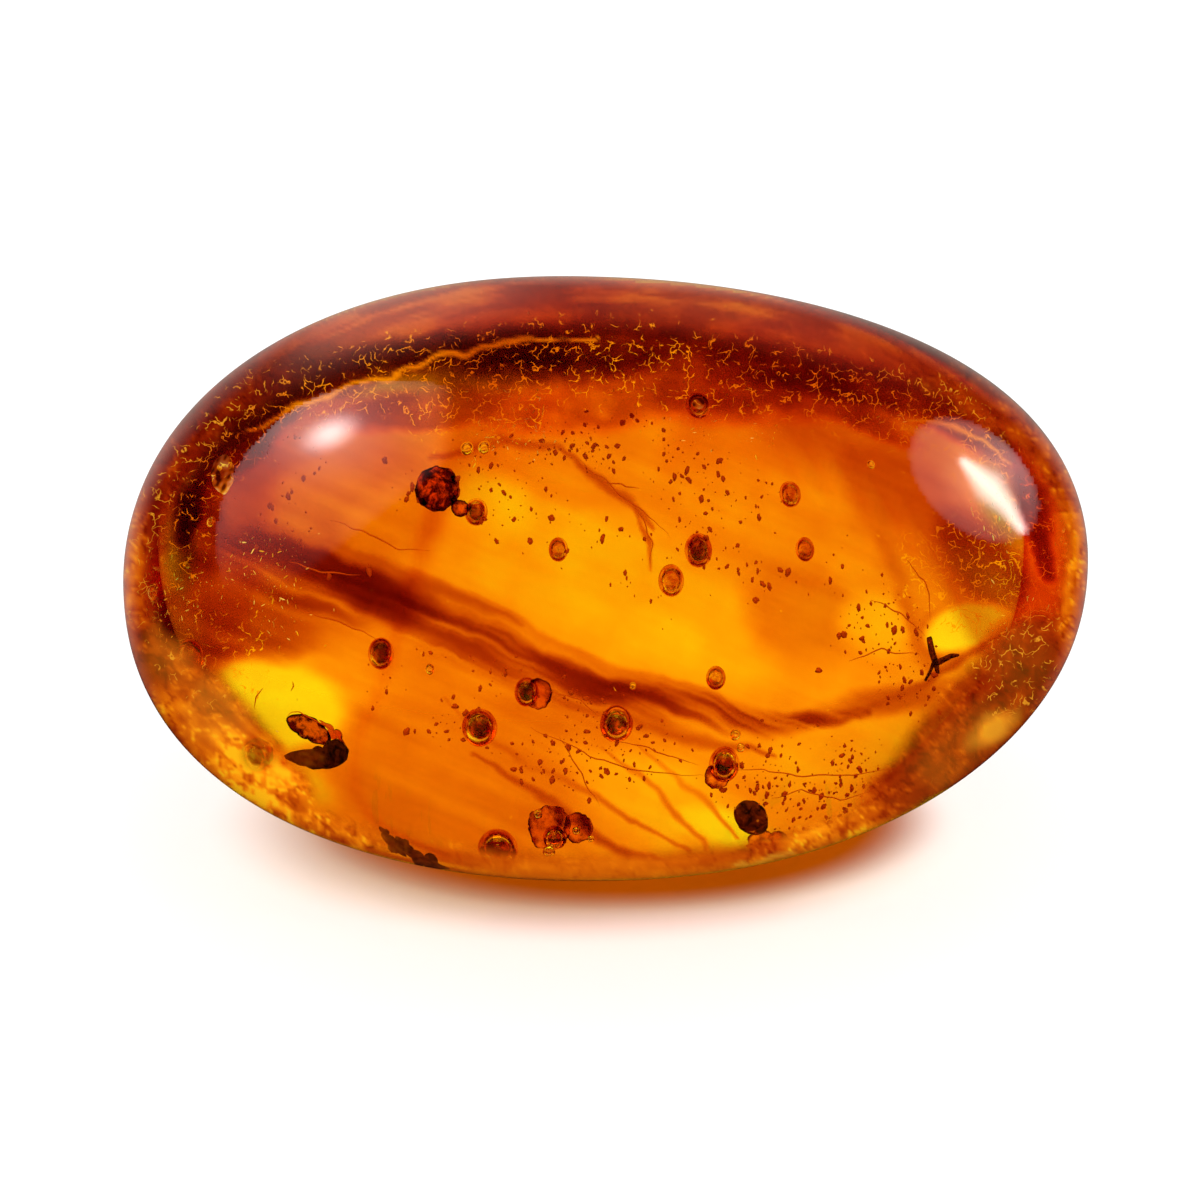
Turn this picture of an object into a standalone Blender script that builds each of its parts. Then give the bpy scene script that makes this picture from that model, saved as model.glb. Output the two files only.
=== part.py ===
"""A polished piece of amber with plant debris sealed inside it.

The stone is one smooth, slightly lopsided pebble with a small flat under it.
It is parted in two along the flow layer, the curved sheet where one run of
resin set over another, because the debris and the larger bubbles lie on it.
Metres, +Z up, origin at the middle of the flat that the stone rests on.
"""

import math

import bmesh
import bpy
from mathutils import Matrix, Vector

MM = 0.001

# The stone
LENGTH = 60.0 * MM
WIDTH = 43.0 * MM
FULL_HEIGHT = 35.5 * MM
FLAT_DEPTH = 0.5 * MM
FULLNESS = 2.166
END_NARROWING = 0.06
END_FLATTENING = 0.034
LENGTHWISE_TILT = 0.0225
END_LIFT = 0.0244
LENGTHWISE_WAVE = -0.0185
SEGMENTS_ROUND = 48
RINGS_ALONG = 32

# The flow layer: it leans back from upright, and bulges towards the front
LAYER_LEAN = math.radians(25.0)
LAYER_MIDDLE = 8.0 * MM
LAYER_BEND_SIDEWAYS = 8.0
LAYER_BEND_UPWARDS = 18.0
LAYER_GAP = 0.34 * MM
LAYER_SPAN = (72.0 * MM, 46.0 * MM)
LAYER_CELLS = (14, 10)
BLOCK_DEPTH = 40.0 * MM

# Room left round each piece of debris
POCKET_ROOM = 0.35 * MM

# Bubbles on the flow layer: sideways, upwards and radius
BUBBLES = (
    (4.9 * MM, 0.4 * MM, 0.72 * MM),
    (3.4 * MM, -0.9 * MM, 0.67 * MM),
    (10.7 * MM, 0.5 * MM, 0.50 * MM),
    (10.0 * MM, 2.9 * MM, 0.57 * MM),
    (-2.8 * MM, 0.4 * MM, 0.50 * MM),
    (5.8 * MM, -5.0 * MM, 0.51 * MM),
    (5.1 * MM, 7.2 * MM, 0.70 * MM),
    (-20.7 * MM, 3.9 * MM, 0.70 * MM),
    (-7.2 * MM, 2.0 * MM, 0.58 * MM),
    (-7.0 * MM, -7.2 * MM, 0.90 * MM),
    (-4.5 * MM, -5.6 * MM, 0.62 * MM),
    (0.4 * MM, -7.1 * MM, 0.88 * MM),
    (6.3 * MM, -9.0 * MM, 0.80 * MM),
    (-18.8 * MM, -8.4 * MM, 0.66 * MM),
    (-12.1 * MM, -3.9 * MM, 0.64 * MM),
    (-21.9 * MM, -4.0 * MM, 0.80 * MM),
    (-6.1 * MM, -12.7 * MM, 1.05 * MM),
    (-3.0 * MM, -12.2 * MM, 0.60 * MM),
)
BUBBLE_SEGMENTS = 10
BUBBLE_RINGS = 6

# Seed husk: two open valves, hinged at the right
HUSK_PLACE = (-15.6 * MM, -7.9 * MM)
LOWER_VALVE_SIZE = (3.5 * MM, 1.3 * MM, 0.85 * MM)
LOWER_VALVE_OFFSET = (0.0 * MM, -0.6 * MM)
LOWER_VALVE_TURN = math.radians(1.0)
UPPER_VALVE_SIZE = (2.3 * MM, 1.2 * MM, 0.7 * MM)
UPPER_VALVE_OFFSET = (-0.5 * MM, 0.85 * MM)
UPPER_VALVE_TURN = math.radians(-18.0)
VALVE_WALL_SHARE = 0.22
VALVE_STEPS = 5
VALVE_SEGMENTS = 14

# Leaf sprig: a blade with three side lobes, outline about its middle
LEAF_PLACE = (-10.8 * MM, -12.9 * MM)
LEAF_THICKNESS = 0.35 * MM
LEAF_OUTLINE = (
    (-1.60 * MM, 1.30 * MM),
    (-1.75 * MM, 0.95 * MM),
    (-1.30 * MM, 0.55 * MM),
    (-1.80 * MM, 0.50 * MM),
    (-1.75 * MM, 0.25 * MM),
    (-1.00 * MM, 0.05 * MM),
    (-0.60 * MM, -0.45 * MM),
    (0.20 * MM, -1.05 * MM),
    (1.30 * MM, -1.35 * MM),
    (2.40 * MM, -1.55 * MM),
    (1.90 * MM, -1.10 * MM),
    (1.30 * MM, -0.50 * MM),
    (0.70 * MM, -0.05 * MM),
    (0.25 * MM, 0.25 * MM),
    (0.05 * MM, -0.15 * MM),
    (-0.20 * MM, 0.30 * MM),
    (-0.50 * MM, 0.80 * MM),
    (-0.60 * MM, 0.50 * MM),
    (-1.00 * MM, 1.00 * MM),
)

# Bark sliver: a forked chip, outline about its middle
SLIVER_PLACE = (17.6 * MM, -3.7 * MM)
SLIVER_THICKNESS = 0.35 * MM
SLIVER_OUTLINE = (
    (-0.42 * MM, 0.80 * MM),
    (-0.45 * MM, 0.15 * MM),
    (-0.58 * MM, -0.40 * MM),
    (-0.20 * MM, -0.55 * MM),
    (-0.05 * MM, -1.10 * MM),
    (0.15 * MM, -1.15 * MM),
    (0.12 * MM, -0.75 * MM),
    (-0.05 * MM, -0.40 * MM),
    (0.05 * MM, -0.02 * MM),
    (0.55 * MM, -0.12 * MM),
    (0.85 * MM, -0.32 * MM),
    (1.30 * MM, -0.10 * MM),
    (0.75 * MM, 0.02 * MM),
    (0.45 * MM, 0.18 * MM),
    (-0.12 * MM, 0.40 * MM),
    (-0.15 * MM, 0.75 * MM),
)

# Lumpy debris: place, half sizes, turn, and depth of the lumps
CRUMB_PLACE = (8.1 * MM, -12.0 * MM)
CRUMB_HALF_SIZES = (0.85 * MM, 1.35 * MM, 0.75 * MM)
CRUMB_TURN = math.radians(28.0)
CRUMB_LUMPS = 0.16
CLOT_PLACE = (-9.3 * MM, 3.1 * MM)
CLOT_HALF_SIZES = (1.05 * MM, 0.95 * MM, 0.90 * MM)
CLOT_TURN = math.radians(-15.0)
CLOT_LUMPS = 0.13
LUMPS_PER_TURN = 3.0

# Colours, roughness and how much light passes
AMBER_FINISH = ((0.90, 0.33, 0.03, 1.0), 0.03, 1.0)
AMBER_IOR = 1.54
LOWER_VALVE_FINISH = ((0.035, 0.008, 0.003, 1.0), 0.35, 0.0)
UPPER_VALVE_FINISH = ((0.23, 0.05, 0.008, 1.0), 0.35, 0.0)
LEAF_FINISH = ((0.07, 0.018, 0.005, 1.0), 0.60, 0.0)
BARK_FINISH = ((0.09, 0.010, 0.004, 1.0), 0.70, 0.0)
CLOT_FINISH = ((0.24, 0.018, 0.004, 1.0), 0.25, 0.0)


def clear_scene():
    """Remove what a new file holds."""
    for old in list(bpy.data.objects):
        bpy.data.objects.remove(old, do_unlink=True)


def make_material(name, finish):
    """A Principled material from a colour, a roughness and a transmission."""
    colour, roughness, transmission = finish
    material = bpy.data.materials.new(name)
    material.use_nodes = True
    shader = material.node_tree.nodes["Principled BSDF"]
    shader.inputs["Base Color"].default_value = colour
    shader.inputs["Roughness"].default_value = roughness
    shader.inputs["Metallic"].default_value = 0.0
    shader.inputs["Transmission Weight"].default_value = transmission
    shader.inputs["IOR"].default_value = AMBER_IOR
    material.diffuse_color = colour
    return material


def face_outwards(mesh_builder):
    """Point every face of a closed shape out of its material."""
    bmesh.ops.recalc_face_normals(mesh_builder, faces=mesh_builder.faces[:])
    if mesh_builder.calc_volume(signed=True) < 0.0:
        bmesh.ops.reverse_faces(mesh_builder, faces=mesh_builder.faces[:])


def make_object(name, mesh_builder, material=None, smooth=True):
    """Turn a bmesh into a named object in the scene."""
    mesh = bpy.data.meshes.new(name)
    mesh_builder.to_mesh(mesh)
    mesh_builder.free()
    if smooth:
        mesh.shade_smooth()
        mesh.set_sharp_from_angle(angle=math.radians(40.0))
    thing = bpy.data.objects.new(name, mesh)
    bpy.context.collection.objects.link(thing)
    if material is not None:
        mesh.materials.append(material)
    return thing


def hide_cutter(cutter):
    """A cutter shapes the stone and is not part of it."""
    cutter.hide_render = True
    cutter.display_type = "WIRE"


def pebble_point(direction):
    """The point of the stone's skin in one direction from its middle."""
    reach = sum(abs(part) ** FULLNESS for part in direction) ** (1.0 / FULLNESS)
    along, across, up = (part / reach for part in direction)
    half_height = FULL_HEIGHT / 2.0
    x = LENGTH / 2.0 * along
    y = WIDTH / 2.0 * across * (1.0 - END_NARROWING * along)
    z = half_height * up * (1.0 - END_FLATTENING * along)
    z += LENGTHWISE_TILT * x
    z += half_height * END_LIFT * along * along
    z += half_height * LENGTHWISE_WAVE * math.sin(math.pi * along)
    return Vector((x, y, z))


def middle_height():
    """Height of the stone's middle over the surface that it rests on."""
    steps = 720
    lowest = min(
        pebble_point((math.cos(turn), 0.0, math.sin(turn))).z
        for turn in (2.0 * math.pi * step / steps for step in range(steps))
    )
    return -lowest - FLAT_DEPTH


def make_pebble():
    """The whole stone, with its poles at the two ends and its flat cut level."""
    pebble = bmesh.new()
    bmesh.ops.create_uvsphere(pebble, u_segments=SEGMENTS_ROUND, v_segments=RINGS_ALONG, radius=1.0)
    lay_down = Matrix.Rotation(math.radians(90.0), 3, "Y")
    lift = Vector((0.0, 0.0, middle_height()))
    for vertex in pebble.verts:
        direction = (lay_down @ vertex.co).normalized()
        vertex.co = pebble_point(direction) + lift
    everything = pebble.verts[:] + pebble.edges[:] + pebble.faces[:]
    bmesh.ops.bisect_plane(
        pebble,
        geom=everything,
        plane_co=(0.0, 0.0, 0.0),
        plane_no=(0.0, 0.0, -1.0),
        clear_outer=True,
    )
    rim = [edge for edge in pebble.edges if edge.is_boundary]
    bmesh.ops.contextual_create(pebble, geom=rim)
    face_outwards(pebble)
    return pebble


def layer_height(sideways, upwards):
    """How far the flow layer stands in front of the stone's middle plane."""
    fall = LAYER_BEND_SIDEWAYS * sideways * sideways + LAYER_BEND_UPWARDS * upwards * upwards
    return LAYER_MIDDLE - fall


def layer_turn(sideways, upwards, spin=0.0):
    """The turn that lays a piece flat on the flow layer, spun in its sheet."""
    slope_sideways = -2.0 * LAYER_BEND_SIDEWAYS * sideways
    slope_upwards = -2.0 * LAYER_BEND_UPWARDS * upwards
    normal = Vector((-slope_sideways, -slope_upwards, 1.0)).normalized()
    lean = Vector((0.0, 0.0, 1.0)).rotation_difference(normal)
    return (lean.to_matrix() @ Matrix.Rotation(spin, 3, "Z")).to_euler()


def make_layer_frame():
    """An empty at the stone's middle whose Z axis faces out of the flow layer."""
    frame = bpy.data.objects.new("flow_layer", None)
    bpy.context.collection.objects.link(frame)
    frame.location = (0.0, 0.0, middle_height())
    frame.rotation_euler = (math.radians(90.0) - LAYER_LEAN, 0.0, 0.0)
    return frame


def place_on_layer(thing, frame, place, spin=0.0, offset=(0.0, 0.0)):
    """Stand a piece of debris on the flow layer."""
    sideways, upwards = place
    turn = layer_turn(sideways, upwards)
    shift = turn.to_matrix() @ Vector((offset[0], offset[1], 0.0))
    thing.parent = frame
    thing.location = Vector((sideways, upwards, layer_height(sideways, upwards))) + shift
    thing.rotation_euler = layer_turn(sideways, upwards, spin)


def make_layer_block(name, frame, side):
    """The half space on one side of the flow layer: side 1 is the front."""
    block = bmesh.new()
    across, up = LAYER_CELLS
    bmesh.ops.create_grid(block, x_segments=across, y_segments=up, size=0.5)
    for vertex in block.verts:
        sideways = vertex.co.x * LAYER_SPAN[0]
        upwards = vertex.co.y * LAYER_SPAN[1]
        forwards = layer_height(sideways, upwards) + side * LAYER_GAP / 2.0
        vertex.co = Vector((sideways, upwards, forwards))
    grown = bmesh.ops.extrude_face_region(block, geom=block.faces[:])
    for vertex in (part for part in grown["geom"] if isinstance(part, bmesh.types.BMVert)):
        vertex.co.z = side * BLOCK_DEPTH
    face_outwards(block)
    cutter = make_object(name, block, smooth=False)
    cutter.parent = frame
    hide_cutter(cutter)
    return cutter


def make_bubbles(frame):
    """One cutter with all the round bubbles that lie on the flow layer."""
    bubbles = bmesh.new()
    for sideways, upwards, radius in BUBBLES:
        middle = Vector((sideways, upwards, layer_height(sideways, upwards)))
        bmesh.ops.create_uvsphere(
            bubbles,
            u_segments=BUBBLE_SEGMENTS,
            v_segments=BUBBLE_RINGS,
            radius=radius,
            matrix=Matrix.Translation(middle),
        )
    cutter = make_object("bubbles", bubbles)
    cutter.parent = frame
    hide_cutter(cutter)
    return cutter


def valve_profile():
    """Half the section of a bowl of radius 1, from its foot out and back in."""
    quarter = [math.pi / 2.0 * step / VALVE_STEPS for step in range(VALVE_STEPS + 1)]
    inner = 1.0 - VALVE_WALL_SHARE
    outside = [Vector((math.sin(turn), 0.0, -math.cos(turn))) for turn in quarter]
    inside = [inner * Vector((math.sin(turn), 0.0, -math.cos(turn))) for turn in reversed(quarter)]
    return outside + inside


def make_valve(name, size, material, opens_up):
    """A boat-shaped husk valve: a bowl drawn out long, opening up or down."""
    length, breadth, depth = size
    valve = bmesh.new()
    points = [valve.verts.new(point) for point in valve_profile()]
    edges = [valve.edges.new(pair) for pair in zip(points, points[1:])]
    bmesh.ops.spin(
        valve,
        geom=points + edges,
        cent=(0.0, 0.0, 0.0),
        axis=(0.0, 0.0, 1.0),
        angle=2.0 * math.pi,
        steps=VALVE_SEGMENTS,
    )
    bmesh.ops.remove_doubles(valve, verts=valve.verts[:], dist=1e-4)
    facing = 1.0 if opens_up else -1.0
    for vertex in valve.verts:
        x, y, z = vertex.co
        vertex.co = Vector((x * length / 2.0, facing * (z + 0.5) * depth, y * breadth / 2.0))
    face_outwards(valve)
    return make_object(name, valve, material)


def make_chip(name, outline, thickness, material):
    """A flat chip of leaf or bark, cut to an outline."""
    chip = bmesh.new()
    corners = [chip.verts.new((x, y, -thickness / 2.0)) for x, y in outline]
    face = chip.faces.new(corners)
    grown = bmesh.ops.extrude_face_region(chip, geom=[face])
    top = [part for part in grown["geom"] if isinstance(part, bmesh.types.BMVert)]
    bmesh.ops.translate(chip, verts=top, vec=(0.0, 0.0, thickness))
    face_outwards(chip)
    return make_object(name, chip, material, smooth=False)


def make_lump(name, half_sizes, lump_depth, material):
    """A knobbly clot or crumb."""
    lump = bmesh.new()
    bmesh.ops.create_icosphere(lump, subdivisions=3, radius=1.0)
    for vertex in lump.verts:
        x, y, z = vertex.co * LUMPS_PER_TURN
        swell = math.sin(x + 0.6) * math.cos(y) + math.sin(y * 1.4) * math.sin(z + 1.1)
        stretched = Vector(a * b for a, b in zip(vertex.co, half_sizes))
        vertex.co = stretched * (1.0 + lump_depth * swell)
    return make_object(name, lump, material)


def make_pocket(name, frame, guests):
    """The room round one or more pieces of debris that lie close together."""
    home = frame.matrix_world.inverted()
    corners = []
    for guest in guests:
        to_frame = home @ guest.matrix_world
        corners += [to_frame @ vertex.co for vertex in guest.data.vertices]
    middle = sum(corners, Vector()) / len(corners)
    pocket = bmesh.new()
    for corner in corners:
        room = Vector(math.copysign(POCKET_ROOM, part) for part in corner - middle)
        pocket.verts.new(corner + room)
    hull = bmesh.ops.convex_hull(pocket, input=pocket.verts[:])
    spare = {part for part in hull["geom_interior"] + hull["geom_unused"]}
    bmesh.ops.delete(
        pocket,
        geom=[part for part in spare if isinstance(part, bmesh.types.BMVert)],
        context="VERTS",
    )
    face_outwards(pocket)
    cutter = make_object(name, pocket, smooth=False)
    cutter.parent = frame
    hide_cutter(cutter)
    return cutter


def cut(thing, cutter, operation):
    """Cut a piece with an exact Boolean."""
    step = thing.modifiers.new(cutter.name, "BOOLEAN")
    step.operation = operation
    step.solver = "EXACT"
    step.object = cutter


def make_stone_part(name, material, block, hollows):
    """One of the two clear pieces of the stone, with its half of every hollow."""
    piece = make_object(name, make_pebble(), material)
    cut(piece, block, "INTERSECT")
    for hollow in hollows:
        cut(piece, hollow, "DIFFERENCE")
    return piece


def main():
    clear_scene()
    frame = make_layer_frame()

    bark = make_material("dark_bark", BARK_FINISH)
    lower_valve = make_valve(
        "husk_lower_valve",
        LOWER_VALVE_SIZE,
        make_material("dark_husk", LOWER_VALVE_FINISH),
        opens_up=True,
    )
    upper_valve = make_valve(
        "husk_upper_valve",
        UPPER_VALVE_SIZE,
        make_material("brown_husk", UPPER_VALVE_FINISH),
        opens_up=False,
    )
    leaf = make_chip(
        "leaf_sprig",
        LEAF_OUTLINE,
        LEAF_THICKNESS,
        make_material("dry_leaf", LEAF_FINISH),
    )
    sliver = make_chip("bark_sliver", SLIVER_OUTLINE, SLIVER_THICKNESS, bark)
    crumb = make_lump("bark_crumb", CRUMB_HALF_SIZES, CRUMB_LUMPS, bark)
    clot = make_lump(
        "resin_clot",
        CLOT_HALF_SIZES,
        CLOT_LUMPS,
        make_material("dark_clot", CLOT_FINISH),
    )

    place_on_layer(lower_valve, frame, HUSK_PLACE, LOWER_VALVE_TURN, LOWER_VALVE_OFFSET)
    place_on_layer(upper_valve, frame, HUSK_PLACE, UPPER_VALVE_TURN, UPPER_VALVE_OFFSET)
    place_on_layer(leaf, frame, LEAF_PLACE)
    place_on_layer(sliver, frame, SLIVER_PLACE)
    place_on_layer(crumb, frame, CRUMB_PLACE, CRUMB_TURN)
    place_on_layer(clot, frame, CLOT_PLACE, CLOT_TURN)
    bpy.context.view_layer.update()

    hollows = [make_bubbles(frame)]
    hollows.append(make_pocket("husk_pocket", frame, [lower_valve, upper_valve]))
    for guest in (leaf, sliver, crumb, clot):
        hollows.append(make_pocket(guest.name + "_pocket", frame, [guest]))

    amber = make_material("clear_amber", AMBER_FINISH)
    front_block = make_layer_block("front_block", frame, side=1)
    back_block = make_layer_block("back_block", frame, side=-1)
    make_stone_part("amber_front", amber, front_block, hollows)
    make_stone_part("amber_back", amber, back_block, hollows)
    bpy.context.view_layer.update()


main()
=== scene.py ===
"""A polished piece of amber with plant debris, bubbles and flow bands sealed in it.

Every size is in metres, in the packed part's own frame: +X along the stone,
+Y away from the viewer, +Z up, with the origin on the flat under the stone.
"""

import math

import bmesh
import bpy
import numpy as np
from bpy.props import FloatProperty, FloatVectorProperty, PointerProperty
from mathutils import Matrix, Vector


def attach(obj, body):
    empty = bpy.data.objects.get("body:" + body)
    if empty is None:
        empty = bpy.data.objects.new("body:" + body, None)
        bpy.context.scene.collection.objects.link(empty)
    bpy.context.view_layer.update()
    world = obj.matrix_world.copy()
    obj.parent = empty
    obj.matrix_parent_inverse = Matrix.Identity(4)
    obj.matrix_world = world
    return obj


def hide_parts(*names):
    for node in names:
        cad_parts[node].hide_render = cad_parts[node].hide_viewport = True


bl_info = {
    "name": "Amber Pebble",
    "version": (1, 0, 0),
    "blender": (4, 5, 0),
    "location": "View3D > Sidebar > Amber",
    "description": "A clear amber pebble with bubbles, bark, a seed husk and flow bands inside",
    "category": "Add Mesh",
}

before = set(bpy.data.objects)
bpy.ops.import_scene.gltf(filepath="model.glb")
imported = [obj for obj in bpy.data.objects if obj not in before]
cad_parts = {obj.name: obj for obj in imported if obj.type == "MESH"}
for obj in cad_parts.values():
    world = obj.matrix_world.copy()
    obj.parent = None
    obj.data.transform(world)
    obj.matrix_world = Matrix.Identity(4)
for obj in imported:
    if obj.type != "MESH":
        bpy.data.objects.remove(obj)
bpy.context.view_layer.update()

MM = 0.001

# The stone's form, as its solids have it
LENGTH = 60.0 * MM
WIDTH = 43.0 * MM
FULL_HEIGHT = 35.5 * MM
FULLNESS = 2.166
END_NARROWING = 0.06
END_FLATTENING = 0.034
LENGTHWISE_TILT = 0.0225
END_LIFT = 0.0244
LENGTHWISE_WAVE = -0.0185
MIDDLE_HEIGHT = 17.26 * MM
AMBER_IOR = 1.54

# The flow layer, the curved sheet on which the larger bubbles and debris lie
LAYER_LEAN = math.radians(25.0)
LAYER_MIDDLE = 8.0 * MM
LAYER_BEND_SIDEWAYS = 8.0
LAYER_BEND_UPWARDS = 18.0

# The stage: floor, boards, and the amber's painted shadow and painted glow on the floor, the wide one first
FLOOR_HALF_SIZE = 3.0
FLOOR_DROP = 0.02 * MM
PAINTED_SHADOW_OVALS = (
    ("painted_shadow_halo", 25.0 * MM, 16.6 * MM, 0.05, 0.60),
    ("painted_shadow_core", 21.4 * MM, 12.9 * MM, -0.05, 0.74),
)
BOARD_STEP = 4.0
WINDOW_DISTANCE = 0.45
BACKDROP_DISTANCE = 0.60
WINDOW_COLOUR = (1.0, 0.93, 0.9)
BACKDROP_COLOUR = (1.0, 0.84, 0.72)
LEFT_WINDOW = ((195.0, 365.0), (460.0, 605.0))
RIGHT_WINDOW = ((830.0, 400.0), (1052.0, 605.0))
BACKDROP = ((120.0, 274.0), (1090.0, 740.0))
HOT_GLOW = 13.0

# The photograph's camera
PHOTO_PIXELS = 1200.0
LENS_MM = 100.0
SENSOR_MM = 36.0
CAMERA_ELEVATION = math.radians(25.0)
CAMERA_DISTANCE = 209.8 * MM
CAMERA_TARGET = Vector((-0.33 * MM, 0.0, MIDDLE_HEIGHT - 1.84 * MM))
OUTLINE_MIDDLE = (605.0, 578.0)
OUTLINE_HALF_WIDTH = 483.0
OUTLINE_HALF_HEIGHT = 303.0

# Where the films and grains lie: before the flow layer, and on shells under the skin
FLOW_FILM_LIFT = -1.3 * MM
SHADE_SHELL = -0.03
BACK_SHELL = -0.035
FLAKE_SHELL = -0.10
FLAKE_LIFT = 0.6 * MM
SPECK_LIFT = 0.3 * MM
HAIR_LIFT = 0.5 * MM
HAIR_RADIUS = 0.035 * MM
CRACKLE_SIZE = 0.0098
BACK_CRACKLE_SIZE = 0.02
# Crack colours: clear in the stained films, and a painted glow where the film gives out light
CLEAR_CRACK = (1.0, 0.72, 0.30, 1.0)
PAINTED_GLOW_CRACK = (0.95, 0.36, 0.02, 1.0)

# Rings and spokes of each lump of debris
LUMP_RINGS = 12
LUMP_SPOKES = 72

# Bubbles on the flow layer: sideways, upwards and radius
BUBBLES = (
    (4.9 * MM, 0.4 * MM, 0.72 * MM),
    (3.4 * MM, -0.9 * MM, 0.67 * MM),
    (10.7 * MM, 0.5 * MM, 0.50 * MM),
    (10.0 * MM, 2.9 * MM, 0.57 * MM),
    (-2.8 * MM, 0.4 * MM, 0.50 * MM),
    (5.8 * MM, -5.0 * MM, 0.51 * MM),
    (5.1 * MM, 7.2 * MM, 0.70 * MM),
    (-20.7 * MM, 3.9 * MM, 0.70 * MM),
    (-7.2 * MM, 2.0 * MM, 0.58 * MM),
    (-7.0 * MM, -7.2 * MM, 0.90 * MM),
    (-4.5 * MM, -5.6 * MM, 0.62 * MM),
    (0.4 * MM, -7.1 * MM, 0.88 * MM),
    (6.3 * MM, -9.0 * MM, 0.80 * MM),
    (-18.8 * MM, -8.4 * MM, 0.66 * MM),
    (-12.1 * MM, -3.9 * MM, 0.64 * MM),
    (-21.9 * MM, -4.0 * MM, 0.80 * MM),
    (-6.1 * MM, -12.7 * MM, 1.05 * MM),
    (-3.0 * MM, -12.2 * MM, 0.60 * MM),
)

# Smaller ones, in the film of bubbles before the layer
SMALL_BUBBLES = (
    (-6.84 * MM, 5.0 * MM, 0.33 * MM),
    (-7.75 * MM, 4.95 * MM, 0.35 * MM),
    (-3.9 * MM, -11.2 * MM, 0.25 * MM),
    (-3.3 * MM, -13.0 * MM, 0.36 * MM),
    (-1.8 * MM, -12.0 * MM, 0.22 * MM),
    (-1.0 * MM, -12.4 * MM, 0.20 * MM),
    (6.9 * MM, -7.7 * MM, 0.30 * MM),
    (7.2 * MM, -8.3 * MM, 0.24 * MM),
    (1.3 * MM, -5.4 * MM, 0.18 * MM),
    (-24.3 * MM, -1.2 * MM, 0.40 * MM),
    (-21.1 * MM, 1.7 * MM, 0.26 * MM),
    (14.6 * MM, 4.4 * MM, 0.22 * MM),
    (-9.6 * MM, -4.6 * MM, 0.24 * MM),
)

# Painted darkness, partly the flow bands' own tone and partly painted shade towards the ends and edges:
# middle, radii, turn, softness and depth, in pixels of the photograph
BASE_DEPTH = 0.92
FLOW_AND_SHADE_CLOUDS = (
    ((700.0, 490.0), (230.0, 80.0), 12.0, 0.5, 1.08),
    ((612.0, 592.0), (215.0, 92.0), 27.0, 0.42, 0.55),
    ((500.0, 505.0), (90.0, 62.0), 20.0, 0.5, 0.75),
    ((650.0, 630.0), (120.0, 34.0), 26.0, 0.7, 0.35),
    ((800.0, 610.0), (80.0, 62.0), 30.0, 0.6, 1.45),
    ((560.0, 478.0), (110.0, 36.0), 10.0, 0.7, 1.15),
    ((815.0, 445.0), (90.0, 34.0), 16.0, 0.7, 1.15),
    ((300.0, 500.0), (170.0, 130.0), -35.0, 0.35, 1.65),
    ((290.0, 440.0), (110.0, 40.0), -35.0, 0.6, 2.4),
    ((385.0, 530.0), (90.0, 48.0), -40.0, 0.5, 1.30),
    ((225.0, 560.0), (74.0, 84.0), 20.0, 0.6, 1.8),
    ((200.0, 530.0), (30.0, 90.0), 6.0, 0.7, 3.7),
    ((185.0, 655.0), (70.0, 46.0), 40.0, 0.6, 2.7),
    ((255.0, 622.0), (130.0, 30.0), 12.0, 0.6, 2.7),
    ((400.0, 668.0), (130.0, 30.0), 20.0, 0.6, 1.2),
    ((240.0, 657.0), (60.0, 22.0), 8.0, 0.7, 3.4),
    ((450.0, 780.0), (170.0, 100.0), 10.0, 0.4, 1.45),
    ((400.0, 775.0), (60.0, 50.0), 10.0, 0.6, 1.6),
    ((306.0, 786.0), (50.0, 30.0), 30.0, 0.7, 0.3),
    ((272.0, 700.0), (96.0, 54.0), 18.0, 0.4, 0.10),
    ((195.0, 765.0), (90.0, 50.0), 44.0, 0.6, 0.0),
    ((560.0, 725.0), (150.0, 30.0), 16.0, 0.7, 1.5),
    ((485.0, 505.0), (70.0, 44.0), 20.0, 0.7, 0.35),
    ((660.0, 800.0), (120.0, 56.0), 28.0, 0.6, 0.60),
    ((722.0, 830.0), (60.0, 26.0), 20.0, 0.6, 0.0),
    ((900.0, 500.0), (90.0, 60.0), 35.0, 0.5, 1.4),
    ((925.0, 590.0), (60.0, 90.0), -14.0, 0.5, 1.20),
    ((985.0, 560.0), (84.0, 44.0), 50.0, 0.6, 3.0),
    ((940.0, 640.0), (34.0, 40.0), 0.0, 0.7, 2.0),
    ((845.0, 745.0), (100.0, 42.0), -8.0, 0.4, 0.75),
    ((890.0, 700.0), (90.0, 22.0), -8.0, 0.7, 2.1),
    ((875.0, 626.0), (54.0, 44.0), 0.0, 0.6, 0.6),
    ((966.0, 628.0), (50.0, 30.0), -15.0, 0.4, 0.0),
    ((1020.0, 650.0), (50.0, 40.0), -30.0, 0.5, 1.5),
    ((975.0, 745.0), (110.0, 54.0), -36.0, 0.5, 0.0),
)
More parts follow.
